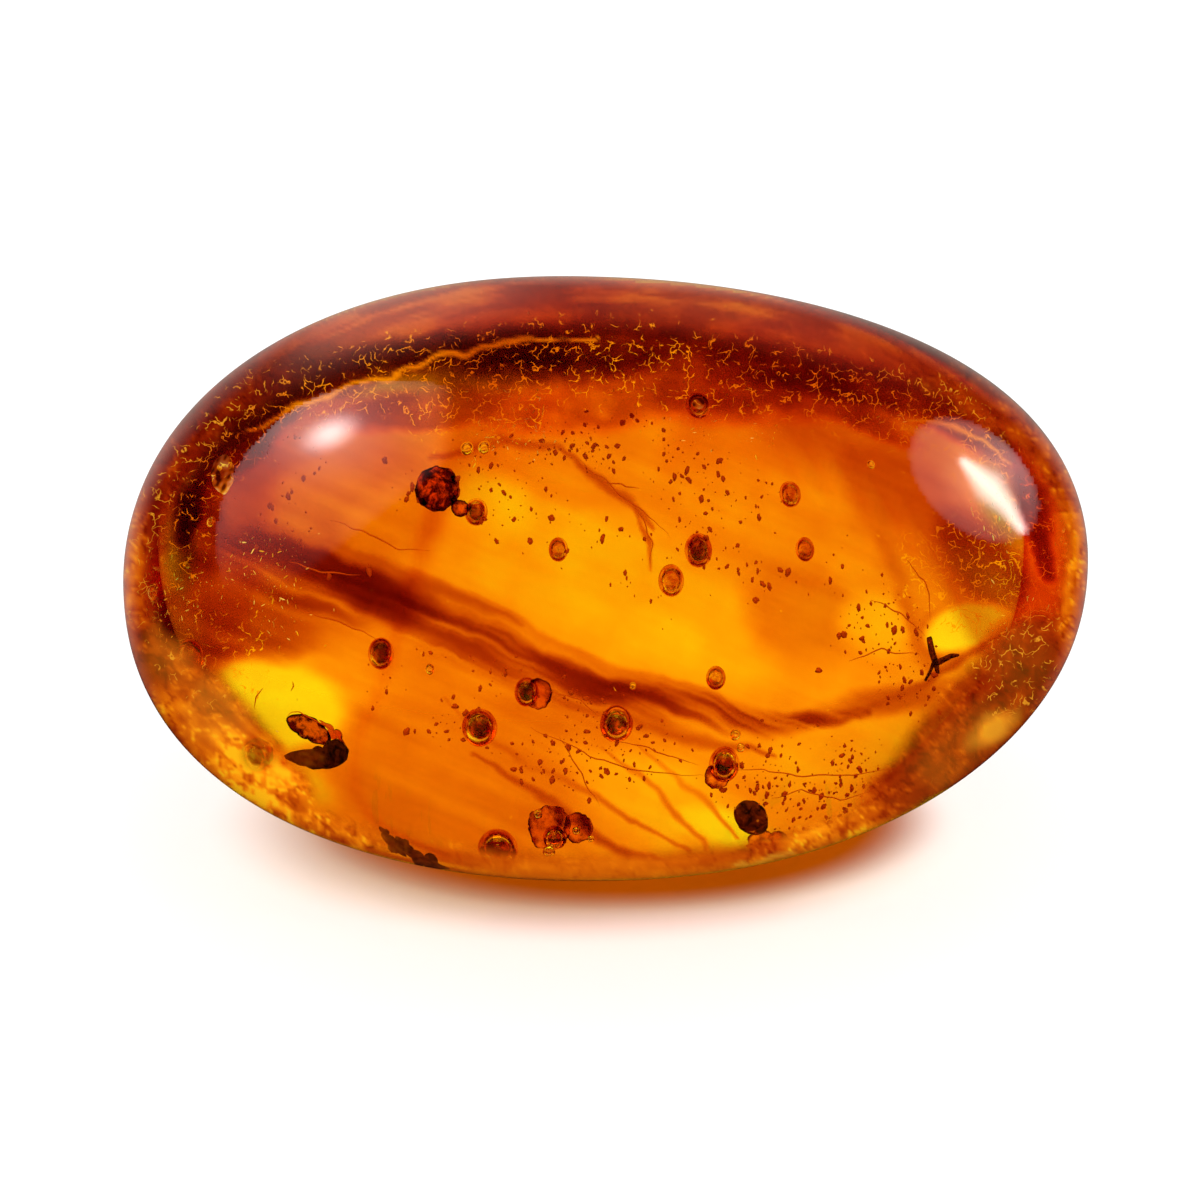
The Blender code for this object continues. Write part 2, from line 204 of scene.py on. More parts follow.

# The painted glow at the rim, a film that gives out its own light: middle, radii, turn and depth
RIM_GLOW_PARTS = (
    ((380.0, 352.0), (190.0, 56.0), -14.0, 4.6),
    ((620.0, 318.0), (240.0, 44.0), 4.0, 4.0),
    ((860.0, 356.0), (160.0, 50.0), 20.0, 4.2),
    ((160.0, 500.0), (56.0, 130.0), 15.0, 3.4),
    ((228.0, 405.0), (120.0, 46.0), -42.0, 4.4),
    ((134.0, 560.0), (20.0, 100.0), 4.0, 1.3),
    ((168.0, 560.0), (30.0, 90.0), 0.0, 4.2),
    ((165.0, 665.0), (60.0, 50.0), 40.0, 3.0),
    ((172.0, 712.0), (44.0, 34.0), 40.0, 1.4),
    ((250.0, 775.0), (100.0, 50.0), 38.0, 0.45),
    ((330.0, 835.0), (100.0, 40.0), 20.0, 1.2),
    ((600.0, 880.0), (300.0, 40.0), 0.0, 1.4),
    ((850.0, 830.0), (120.0, 46.0), -25.0, 1.3),
    ((945.0, 755.0), (110.0, 64.0), -42.0, 3.7),
    ((1010.0, 685.0), (70.0, 60.0), -50.0, 3.9),
    ((993.0, 728.0), (26.0, 13.0), -45.0, 0.2),
    ((1040.0, 600.0), (50.0, 90.0), 10.0, 3.2),
    ((1066.0, 520.0), (26.0, 60.0), -14.0, 1.7),
    ((1072.0, 600.0), (18.0, 100.0), 6.0, 1.5),
    ((960.0, 405.0), (110.0, 40.0), 35.0, 3.3),
)

# Where that glowing film hides what lies behind it, and where it has gaps: the same, with its share
RIM_GLOW_ENDS = (
    ((208.0, 722.0), (140.0, 50.0), 47.0, 0.93),
    ((262.0, 772.0), (70.0, 40.0), 40.0, 0.93),
    ((975.0, 728.0), (150.0, 58.0), -48.0, 0.93),
    ((900.0, 792.0), (60.0, 34.0), -35.0, 0.93),
    ((1030.0, 668.0), (44.0, 66.0), 20.0, 0.93),
)
RIM_GLOW_GAPS = (
    ((418.0, 850.0), (64.0, 28.0), 24.0, 0.15),
    ((259.0, 754.0), (24.0, 22.0), 0.0, 0.30),
    ((300.0, 757.0), (32.0, 18.0), 0.0, 0.15),
)

# Where fine cracks gather: middle, radii, turn and amount
HAZE_CLOUDS = (
    ((968.0, 745.0), (120.0, 44.0), -38.0, 0.14),
    ((993.0, 728.0), (36.0, 18.0), -38.0, 0.75),
    ((1020.0, 660.0), (52.0, 60.0), -20.0, 0.08),
    ((215.0, 715.0), (60.0, 40.0), 42.0, 0.30),
    ((170.0, 650.0), (44.0, 60.0), 10.0, 0.22),
    ((450.0, 415.0), (110.0, 40.0), -8.0, 0.20),
    ((965.0, 590.0), (80.0, 50.0), 30.0, 0.14),
    ((820.0, 620.0), (60.0, 44.0), 20.0, 0.12),
)

# Long golden cracks, as places with half widths
GOLD_LINES = (
    ((250.0, 436.0, 2.0), (283.0, 409.0, 4.0), (330.0, 391.0, 5.0), (400.0, 375.0, 3.0)),
    ((392.0, 374.0, 3.0), (450.0, 358.0, 5.0), (531.0, 343.0, 4.0), (600.0, 339.0, 2.0)),
    ((905.0, 420.0, 2.0), (950.0, 432.0, 5.0), (985.0, 446.0, 4.0), (1010.0, 462.0, 2.0)),
    ((735.0, 864.0, 2.0), (765.0, 861.0, 4.0), (792.0, 854.0, 3.0)),
)

# The great flow band, its dark cores and the finer flow lines
GREAT_BAND = (
    (200.0, 540.0, 18.0),
    (250.0, 550.0, 36.0),
    (320.0, 570.0, 48.0),
    (400.0, 600.0, 50.0),
    (470.0, 640.0, 42.0),
    (560.0, 676.0, 36.0),
    (640.0, 700.0, 32.0),
    (720.0, 716.0, 24.0),
    (790.0, 722.0, 16.0),
    (870.0, 712.0, 8.0),
)
BAND_CORES = (
    ((388.0, 612.0), (64.0, 20.0), 22.0, 0.8, 4.2),
    ((315.0, 560.0), (100.0, 24.0), 18.0, 0.7, 4.6),
    ((372.0, 584.0), (90.0, 34.0), 24.0, 0.7, 5.6),
    ((300.0, 600.0), (90.0, 14.0), 20.0, 0.9, 3.6),
    ((470.0, 652.0), (90.0, 14.0), 24.0, 0.9, 3.8),
    ((610.0, 690.0), (90.0, 17.0), 15.0, 0.8, 4.8),
    ((560.0, 668.0), (60.0, 10.0), 24.0, 0.9, 4.0),
)
FLOW_LINES = (
    (((250.0, 522.0, 5.0), (340.0, 548.0, 12.0), (430.0, 580.0, 12.0), (520.0, 625.0, 5.0)), 2.2),
    (((470.0, 592.0, 3.0), (540.0, 634.0, 8.0), (620.0, 672.0, 8.0), (700.0, 692.0, 4.0)), 1.4),
    (((475.0, 752.0, 3.0), (564.0, 812.0, 9.0), (620.0, 850.0, 9.0), (693.0, 867.0, 3.0)), 2.6),
    (((440.0, 700.0, 2.0), (520.0, 760.0, 7.0), (600.0, 800.0, 5.0), (690.0, 850.0, 3.0)), 1.9),
    (((600.0, 745.0, 2.0), (660.0, 790.0, 6.0), (705.0, 850.0, 3.0)), 1.7),
    (((640.0, 745.0, 2.0), (700.0, 800.0, 6.0), (735.0, 840.0, 3.0)), 1.5),
    (((530.0, 690.0, 4.0), (620.0, 718.0, 12.0), (700.0, 745.0, 12.0), (770.0, 752.0, 4.0)), 2.3),
    (((560.0, 448.0, 3.0), (600.0, 480.0, 9.0), (633.0, 505.0, 9.0), (655.0, 530.0, 3.0)), 2.5),
    (((633.0, 505.0, 3.0), (652.0, 545.0, 5.0), (650.0, 570.0, 2.0)), 2.3),
    (((430.0, 458.0, 6.0), (500.0, 440.0, 10.0), (560.0, 448.0, 6.0)), 2.2),
    (((850.0, 455.0, 16.0), (885.0, 540.0, 14.0), (915.0, 620.0, 12.0), (935.0, 680.0, 8.0)), 1.7),
    (((840.0, 720.0, 4.0), (900.0, 696.0, 9.0), (960.0, 664.0, 8.0), (1000.0, 640.0, 3.0)), 2.6),
)

# Where the painted shade along the upper edge is browner than red: middle, radii, turn and how much
BROWN_PARTS = (
    ((265.0, 400.0), (110.0, 44.0), -38.0, 1.5),
    ((450.0, 366.0), (220.0, 44.0), -5.0, 1.5),
    ((180.0, 545.0), (24.0, 70.0), 0.0, 1.5),
    ((1000.0, 500.0), (30.0, 60.0), -20.0, 1.2),
)

# How dark the wisps at the back are, and the painted shade along the back's edge as the camera sees it
BACK_WISPS = 1.1
BACK_EDGE_SHADE = 0.7

# The painted shade along the upper edge and the ends, a dark stained film: its edge, its arc, its cracked
# and flaked parts, and its clouds
SHADE_EDGE = (
    (158.0, 540.0, 22.0),
    (178.0, 480.0, 42.0),
    (250.0, 395.0, 58.0),
    (400.0, 330.0, 55.0),
    (600.0, 320.0, 50.0),
    (800.0, 345.0, 50.0),
    (960.0, 400.0, 42.0),
    (1035.0, 490.0, 28.0),
)
SHADE_ARC = (
    (186.0, 540.0, 14.0),
    (190.0, 480.0, 22.0),
    (232.0, 420.0, 26.0),
    (310.0, 376.0, 24.0),
    (420.0, 350.0, 22.0),
    (560.0, 336.0, 26.0),
    (700.0, 346.0, 30.0),
    (850.0, 382.0, 30.0),
    (950.0, 412.0, 26.0),
    (1010.0, 455.0, 18.0),
    (1040.0, 515.0, 20.0),
    (1046.0, 575.0, 12.0),
)
CRACKED_EDGE = (
    (160.0, 600.0, 50.0),
    (180.0, 500.0, 60.0),
    (260.0, 400.0, 50.0),
    (420.0, 370.0, 60.0),
    (600.0, 360.0, 66.0),
    (800.0, 385.0, 66.0),
    (960.0, 430.0, 60.0),
    (1050.0, 560.0, 45.0),
    (1010.0, 680.0, 60.0),
)
FLAKED_EDGE = (
    (170.0, 620.0, 60.0),
    (180.0, 500.0, 60.0),
    (260.0, 400.0, 50.0),
    (420.0, 380.0, 60.0),
    (600.0, 370.0, 70.0),
    (800.0, 400.0, 70.0),
    (960.0, 430.0, 60.0),
    (1040.0, 560.0, 45.0),
    (1020.0, 680.0, 60.0),
    (930.0, 760.0, 40.0),
)
SHADE_CLOUDS = (
    ((640.0, 372.0), (330.0, 58.0), 4.0, 0.55, 2.2),
    ((540.0, 405.0), (140.0, 36.0), 4.0, 0.6, 1.2),
    ((560.0, 352.0), (190.0, 34.0), 0.0, 0.7, 4.4),
    ((640.0, 312.0), (130.0, 20.0), 2.0, 0.8, 3.2),
    ((880.0, 385.0), (150.0, 22.0), 16.0, 0.8, 3.0),
    ((255.0, 440.0), (90.0, 26.0), -48.0, 0.7, 2.8),
    ((268.0, 392.0), (100.0, 34.0), -36.0, 0.7, 4.9),
    ((330.0, 380.0), (110.0, 24.0), -14.0, 0.7, 3.4),
    ((540.0, 348.0), (180.0, 20.0), 2.0, 0.7, 5.4),
    ((620.0, 348.0), (60.0, 34.0), 0.0, 0.7, 4.8),
    ((930.0, 408.0), (60.0, 20.0), 25.0, 0.8, 3.8),
    ((420.0, 408.0), (110.0, 26.0), -6.0, 0.7, 2.2),
    ((860.0, 420.0), (80.0, 18.0), 22.0, 0.8, 1.6),
)


def pebble_point(direction):
    """The point of the stone's skin in one direction from its middle."""
    reach = sum(abs(part) ** FULLNESS for part in direction) ** (1.0 / FULLNESS)
    along, across, up = (part / reach for part in direction)
    half_height = FULL_HEIGHT / 2.0
    x = LENGTH / 2.0 * along
    y = WIDTH / 2.0 * across * (1.0 - END_NARROWING * along)
    z = half_height * up * (1.0 - END_FLATTENING * along)
    z += LENGTHWISE_TILT * x
    z += half_height * END_LIFT * along * along
    z += half_height * LENGTHWISE_WAVE * math.sin(math.pi * along)
    return Vector((x, y, z + MIDDLE_HEIGHT))


def layer_frame():
    """The flow layer's own axes: sideways, upwards and forwards."""
    turn = Matrix.Rotation(math.radians(90.0) - LAYER_LEAN, 4, "X")
    return Matrix.Translation((0.0, 0.0, MIDDLE_HEIGHT)) @ turn


def layer_height(sideways, upwards):
    """How far the flow layer stands in front of the stone's middle plane."""
    fall = LAYER_BEND_SIDEWAYS * sideways * sideways + LAYER_BEND_UPWARDS * upwards * upwards
    return LAYER_MIDDLE - fall


def on_layer(sideways, upwards, lift=0.0):
    """A point of the flow layer, or above it, in the part's frame."""
    return layer_frame() @ Vector((sideways, upwards, layer_height(sideways, upwards) + lift))


def plain_object(name, mesh_builder, smooth=True):
    """Turn a bmesh into an object at the origin."""
    mesh = bpy.data.meshes.new(name)
    mesh_builder.to_mesh(mesh)
    mesh_builder.free()
    if smooth:
        mesh.shade_smooth()
    thing = bpy.data.objects.new(name, mesh)
    bpy.context.collection.objects.link(thing)
    return thing


def stone_form(points):
    """Below nought inside the stone, nought on its skin, above it outside."""
    half_height = FULL_HEIGHT / 2.0
    along = points[..., 0] / (LENGTH / 2.0)
    across = points[..., 1] / (WIDTH / 2.0 * (1.0 - END_NARROWING * along))
    lift = LENGTHWISE_TILT * points[..., 0] + MIDDLE_HEIGHT
    lift = lift + half_height * END_LIFT * along * along
    lift = lift + half_height * LENGTHWISE_WAVE * np.sin(math.pi * along)
    up = (points[..., 2] - lift) / (half_height * (1.0 - END_FLATTENING * along))
    total = np.abs(along) ** FULLNESS + np.abs(across) ** FULLNESS + np.abs(up) ** FULLNESS
    return total ** (1.0 / FULLNESS) - 1.0


def stone_normal(points):
    """The outward normals of the stone's skin."""
    step = 0.01 * MM
    slopes = []
    for axis in np.eye(3):
        slopes.append(stone_form(points + axis * step) - stone_form(points - axis * step))
    normals = np.stack(slopes, axis=-1)
    return normals / np.linalg.norm(normals, axis=-1, keepdims=True)


def meet_skin(start, rays, level=0.0):
    """How far each ray runs to the skin, or to a shell that lies inside it."""
    reach = np.zeros(start.shape[:-1])
    step = 0.005 * MM
    for turn in range(14):
        here = stone_form(start + rays * reach[..., None]) - level
        there = stone_form(start + rays * (reach + step)[..., None]) - level
        slope = (there - here) / step
        slope = np.where(np.abs(slope) < 0.5, np.sign(slope) * 0.5 + (slope == 0.0), slope)
        reach = reach - here / slope
    miss = np.abs(stone_form(start + rays * reach[..., None]) - level) > 1e-4
    return np.where(miss, np.nan, reach)


def photo_rays(x, y):
    """The camera's place and its unit rays through these pixels of the photograph."""
    spread = LENS_MM / SENSOR_MM * PHOTO_PIXELS
    sine, cosine = math.sin(CAMERA_ELEVATION), math.cos(CAMERA_ELEVATION)
    upward = np.array((0.0, sine, cosine))
    toward_viewer = np.array((0.0, -cosine, sine))
    right = (x - PHOTO_PIXELS / 2.0) / spread
    up = (PHOTO_PIXELS / 2.0 - y) / spread
    rays = right[..., None] * np.array((1.0, 0.0, 0.0)) + up[..., None] * upward - toward_viewer
    rays = rays / np.linalg.norm(rays, axis=-1, keepdims=True)
    place = np.array(CAMERA_TARGET) + toward_viewer * CAMERA_DISTANCE
    return place, rays


def enter_stone(x, y):
    """Where the rays through these pixels meet the stone, their course, and the normals."""
    place, rays = photo_rays(x, y)
    start = place + rays * (CAMERA_DISTANCE - 40.0 * MM)
    entry = start + rays * meet_skin(start, rays)[..., None]
    return entry, rays, stone_normal(entry)


def reach_outline(x, y):
    """Draw the grid points next to the outline in to it; also say which points count."""
    inside = np.isfinite(enter_stone(x, y)[0]).all(axis=-1)
    spread = np.pad(inside, 1)
    rows, columns = inside.shape
    beside = np.zeros(inside.shape, dtype=bool)
    for down in range(3):
        for across in range(3):
            beside |= spread[down : down + rows, across : across + columns]
    beside &= ~inside
    from_middle = x[beside] - OUTLINE_MIDDLE[0], y[beside] - OUTLINE_MIDDLE[1]
    low = np.zeros(from_middle[0].shape)
    high = np.ones(from_middle[0].shape)
    for turn in range(12):
        half = (low + high) / 2.0
        there = enter_stone(
            OUTLINE_MIDDLE[0] + from_middle[0] * half, OUTLINE_MIDDLE[1] + from_middle[1] * half
        )[0]
        hit = np.isfinite(there).all(axis=-1)
        low = np.where(hit, half, low)
        high = np.where(hit, high, half)
    x, y = x.copy(), y.copy()
    x[beside] = OUTLINE_MIDDLE[0] + from_middle[0] * low
    y[beside] = OUTLINE_MIDDLE[1] + from_middle[1] * low
    return x, y, inside | beside


def bend_into_stone(rays, normals):
    """The rays' course after they are refracted into the amber."""
    ratio = 1.0 / AMBER_IOR
    facing = -(rays * normals).sum(axis=-1, keepdims=True)
    inner = np.sqrt(np.maximum(1.0 - ratio * ratio * (1.0 - facing * facing), 0.0))
    return ratio * rays + (ratio * facing - inner) * normals


def grid_object(name, places, pixels, keep):
    """A sheet of quads over a grid of points, with the photo position as its UV map."""
    rows, columns = keep.shape
    corners = keep[:-1, :-1] & keep[1:, :-1] & keep[1:, 1:] & keep[:-1, 1:]
    number = np.arange(rows * columns).reshape(rows, columns)
    quads = np.stack(
        (number[:-1, :-1], number[1:, :-1], number[1:, 1:], number[:-1, 1:]), axis=-1
    )[corners]
    used = np.unique(quads)
    renumber = np.zeros(rows * columns, dtype=int)
    renumber[used] = np.arange(len(used))
    mesh = bpy.data.meshes.new(name)
    spots = places.reshape(-1, 3)[used]
    mesh.from_pydata(spots.tolist(), [], renumber[quads].tolist())
    mesh.shade_smooth()
    flat = pixels.reshape(-1, 2)[used] / PHOTO_PIXELS
    corner_vertices = np.empty(len(mesh.loops), dtype=int)
    mesh.loops.foreach_get("vertex_index", corner_vertices)
    mesh.uv_layers.new(name="photo_place").data.foreach_set("uv", flat[corner_vertices].ravel())
    thing = bpy.data.objects.new(name, mesh)
    bpy.context.collection.objects.link(thing)
    return thing, used


def paint(thing, name, values, used):
    """Store one number or colour per point of a sheet."""
    values = np.asarray(values, dtype=float)
    if values.ndim == 3:
        layer = thing.data.attributes.new(name, "FLOAT_COLOR", "POINT")
        flat = values.reshape(-1, 3)[used]
        colours = np.concatenate((flat, np.ones((len(flat), 1))), axis=1)
        layer.data.foreach_set("color", colours.ravel())
        return
    layer = thing.data.attributes.new(name, "FLOAT", "POINT")
    layer.data.foreach_set("value", values.ravel()[used])


def ease(low, high, values):
    """A smooth rise from 0 to 1 between two values, or a fall if they are swapped."""
    part = np.clip((values - low) / (high - low), 0.0, 1.0)
    return part * part * (3.0 - 2.0 * part)


def cloud(x, y, size, seed, octaves=3):
    """Smooth random values around 0.5, with lumps of about one size."""
    total = np.zeros(np.broadcast(x, y).shape)
    weight = 0.0
    for octave in range(octaves):
        share = 0.5**octave
        table = np.random.default_rng(seed * 31 + octave).random((64, 64))
        across = x / size * 2.0**octave + 11.7 * octave
        down = y / size * 2.0**octave + 5.3 * octave
        column = np.floor(across).astype(int)
        row = np.floor(down).astype(int)
        u = across - column
        v = down - row
        u = u * u * (3.0 - 2.0 * u)
        v = v * v * (3.0 - 2.0 * v)
        top = table[row % 64, column % 64] * (1.0 - u) + table[row % 64, (column + 1) % 64] * u
        low = table[(row + 1) % 64, column % 64] * (1.0 - u)
        low = low + table[(row + 1) % 64, (column + 1) % 64] * u
        total = total + share * (top * (1.0 - v) + low * v)
        weight += share
    return total / weight


def spot(x, y, middle, radii, turn=0.0, softness=0.5):
    """1 inside a turned oval that fades to 0 at its edge."""
    angle = math.radians(turn)
    along = (x - middle[0]) * math.cos(angle) + (y - middle[1]) * math.sin(angle)
    across = (y - middle[1]) * math.cos(angle) - (x - middle[0]) * math.sin(angle)
    distance = np.sqrt((along / radii[0]) ** 2 + (across / radii[1]) ** 2)
    return ease(1.0, 1.0 - softness, distance)


def course(x, y, points):
    """Each pixel's distance to a line through points, and the half width there."""
    nearest = np.full(np.broadcast(x, y).shape, 1e9)
    width = np.ones(nearest.shape)
    for number in range(len(points) - 1):
        ax, ay, aw = points[number]
        bx, by, bw = points[number + 1]
        dx, dy = bx - ax, by - ay
        share = np.clip(((x - ax) * dx + (y - ay) * dy) / (dx * dx + dy * dy), 0.0, 1.0)
        gap = np.hypot(x - (ax + share * dx), y - (ay + share * dy))
        closer = gap < nearest
        nearest = np.where(closer, gap, nearest)
        width = np.where(closer, aw + share * (bw - aw), width)
    return nearest, width


def streak(x, y, points, softness=0.6):
    """1 along a line of points (x, y, half width), fading to 0 at its sides and ends."""
    gap, width = course(x, y, points)
    return ease(1.0, 1.0 - softness, gap / width)


def lay(depth, mask, value):
    """Paint one value over another where the mask lets it."""
    return depth + (value - depth) * mask


def grain(x, y, turn, length, thickness, seed, octaves=3):
    """Random values drawn out into fibres that run at one angle."""
    angle = math.radians(turn)
    along = x * math.cos(angle) + y * math.sin(angle)
    across = y * math.cos(angle) - x * math.sin(angle)
    return cloud(along * thickness / length, across, thickness, seed, octaves)


def flow_depth(x, y):
    """How dark the flow film inside the stone is: the flow bands, and painted shade towards the ends and
    edges.
    """
    x0, y0 = x, y
    x = x0 + 16.0 * (cloud(x0, y0, 70.0, 1) - 0.5) + 7.0 * (cloud(x0, y0, 22.0, 2) - 0.5)
    y = y0 + 16.0 * (cloud(x0, y0, 70.0, 3) - 0.5) + 7.0 * (cloud(x0, y0, 22.0, 4) - 0.5)
    depth = np.full(x.shape, BASE_DEPTH)
    for middle, radii, turn, softness, value in FLOW_AND_SHADE_CLOUDS:
        depth = lay(depth, spot(x, y, middle, radii, turn, softness), value)
    band = streak(x, y, GREAT_BAND, 0.85)
    fibres = grain(x, y, 24.0, 210.0, 8.0, 11, 4)
    threaded = band * (0.35 + 1.5 * np.clip(fibres - 0.22, 0.0, 0.43))
    depth = lay(depth, threaded, 3.1 + 2.4 * (fibres - 0.5))
    for middle, radii, turn, softness, value in BAND_CORES:
        core = spot(x, y, middle, radii, turn, softness) * (0.55 + 0.8 * fibres)
        depth = lay(depth, core, value)
    for points, value in FLOW_LINES:
        depth = lay(depth, 0.85 * streak(x, y, points, 1.0), value)
    depth = depth * (0.80 + 0.40 * grain(x0, y0, 24.0, 130.0, 12.0, 21, 4))
    depth = depth + 0.5 * (cloud(x0, y0, 44.0, 23, 4) - 0.5)
    return np.clip(depth, 0.0, None)


def painted_shade_depth(x, y):
    """How dark the painted shade along the upper edge and the ends is."""
    x0, y0 = x, y
    x = x0 + 12.0 * (cloud(x0, y0, 60.0, 5) - 0.5) + 10.0 * (cloud(x0, y0, 20.0, 6) - 0.5)
    y = y0 + 12.0 * (cloud(x0, y0, 60.0, 7) - 0.5) + 10.0 * (cloud(x0, y0, 20.0, 8) - 0.5)
    depth = np.zeros(x.shape)
    depth = lay(depth, streak(x0, y0, SHADE_EDGE, 0.7), 0.8)
    for middle, radii, turn, softness, value in SHADE_CLOUDS:
        depth = lay(depth, spot(x, y, middle, radii, turn, softness), value)
    depth = lay(depth, streak(x, y, SHADE_ARC, 0.8), 4.4 - 1.6 * ease(700.0, 950.0, x))
    depth = depth * (0.66 + 0.62 * grain(x0, y0, 5.0, 70.0, 13.0, 31, 4))
    lumps = cloud(x0, y0, 24.0, 33, 4)
    depth = depth + ease(0.0, 1.6, depth) * 2.4 * (lumps - 0.47)
    return np.clip(depth, 0.0, None)


def new_material(name, bare=False):
    """A new material with its nodes and links; a bare one has no shader yet."""
    material = bpy.data.materials.new(name)
    material.use_nodes = True
    nodes, links = material.node_tree.nodes, material.node_tree.links
    if bare:
        nodes.remove(nodes["Principled BSDF"])
    return material, nodes, links


def plain_skin(name, colour, roughness=0.6, shine=0.0):
    """A material of one colour."""
    material, nodes, links = new_material(name)
    shader = nodes["Principled BSDF"]
    shader.inputs["Base Color"].default_value = (*colour, 1.0)
    shader.inputs["Roughness"].default_value = roughness
    shader.inputs["Specular IOR Level"].default_value = shine
    return material


def colour_setting(name, description, default):
    """A colour that the panel shows."""
    return FloatVectorProperty(
        name=name, description=description, subtype="COLOR", size=3, min=0.0, max=1.0, default=default
    )


def length_setting(name, description, default):
    """A length that the panel shows."""
    return FloatProperty(
        name=name, description=description, subtype="DISTANCE", unit="LENGTH", min=0.0, default=default
    )


def clear_amber():
    """Clear honey-coloured amber: plain transmission, IOR and absorption."""
    settings = bpy.context.scene.amber_stone
    material, nodes, links = new_material("clear_amber")
    shader = nodes["Principled BSDF"]
    shader.inputs["Base Color"].default_value = (1.0, 1.0, 1.0, 1.0)
    shader.inputs["Roughness"].default_value = 0.0
    shader.inputs["IOR"].default_value = AMBER_IOR
    shader.inputs["Transmission Weight"].default_value = 1.0
    body = nodes.new("ShaderNodeVolumeAbsorption")
    body.inputs["Color"].default_value = (*settings.body_colour, 1.0)
    body.inputs["Density"].default_value = settings.body_density
    links.new(body.outputs["Volume"], nodes["Material Output"].inputs["Volume"])
    return material


def add_bubble(stone, middle, radius, fineness=4):
    """A round hollow: a closed ball whose faces point into the hollow."""
    made = bmesh.ops.create_icosphere(stone, subdivisions=fineness, radius=radius)
    bmesh.ops.translate(stone, verts=made["verts"], vec=middle)
    faces = {face for vertex in made["verts"] for face in vertex.link_faces}
    bmesh.ops.reverse_faces(stone, faces=list(faces))


class AmberStoneSettings(bpy.types.PropertyGroup):
    """The clear stone"""

    body_colour: colour_setting("Body colour", "What the amber lets through", (0.995, 0.9325, 0.2))
    body_density: FloatProperty(
        name="Body density",
        description="How strongly the amber takes up light, per metre",
        default=200.0,
        min=0.0,
    )


class OBJECT_OT_amber_stone(bpy.types.Operator):
    """Make the clear amber with its bubbles, in place of the two halves"""

    bl_idname = "object.amber_stone"
    bl_label = "Amber Stone"

    def execute(self, context):
        stone = bmesh.new()
        bmesh.ops.create_icosphere(stone, subdivisions=7, radius=1.0)
        for vertex in stone.verts:
            vertex.co = pebble_point(vertex.co.normalized())
            vertex.co.z = max(vertex.co.z, 0.0)
        for sideways, upwards, radius in BUBBLES:
            add_bubble(stone, on_layer(sideways, upwards), radius)
        for sideways, upwards, radius in SMALL_BUBBLES:
            add_bubble(stone, on_layer(sideways, upwards, 0.4 * MM), radius, 3)
        amber = plain_object("amber", stone)
        amber.data.materials.append(clear_amber())
        amber.visible_shadow = False
        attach(amber, "root")
        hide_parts("amber_front", "amber_back")
        return {"FINISHED"}


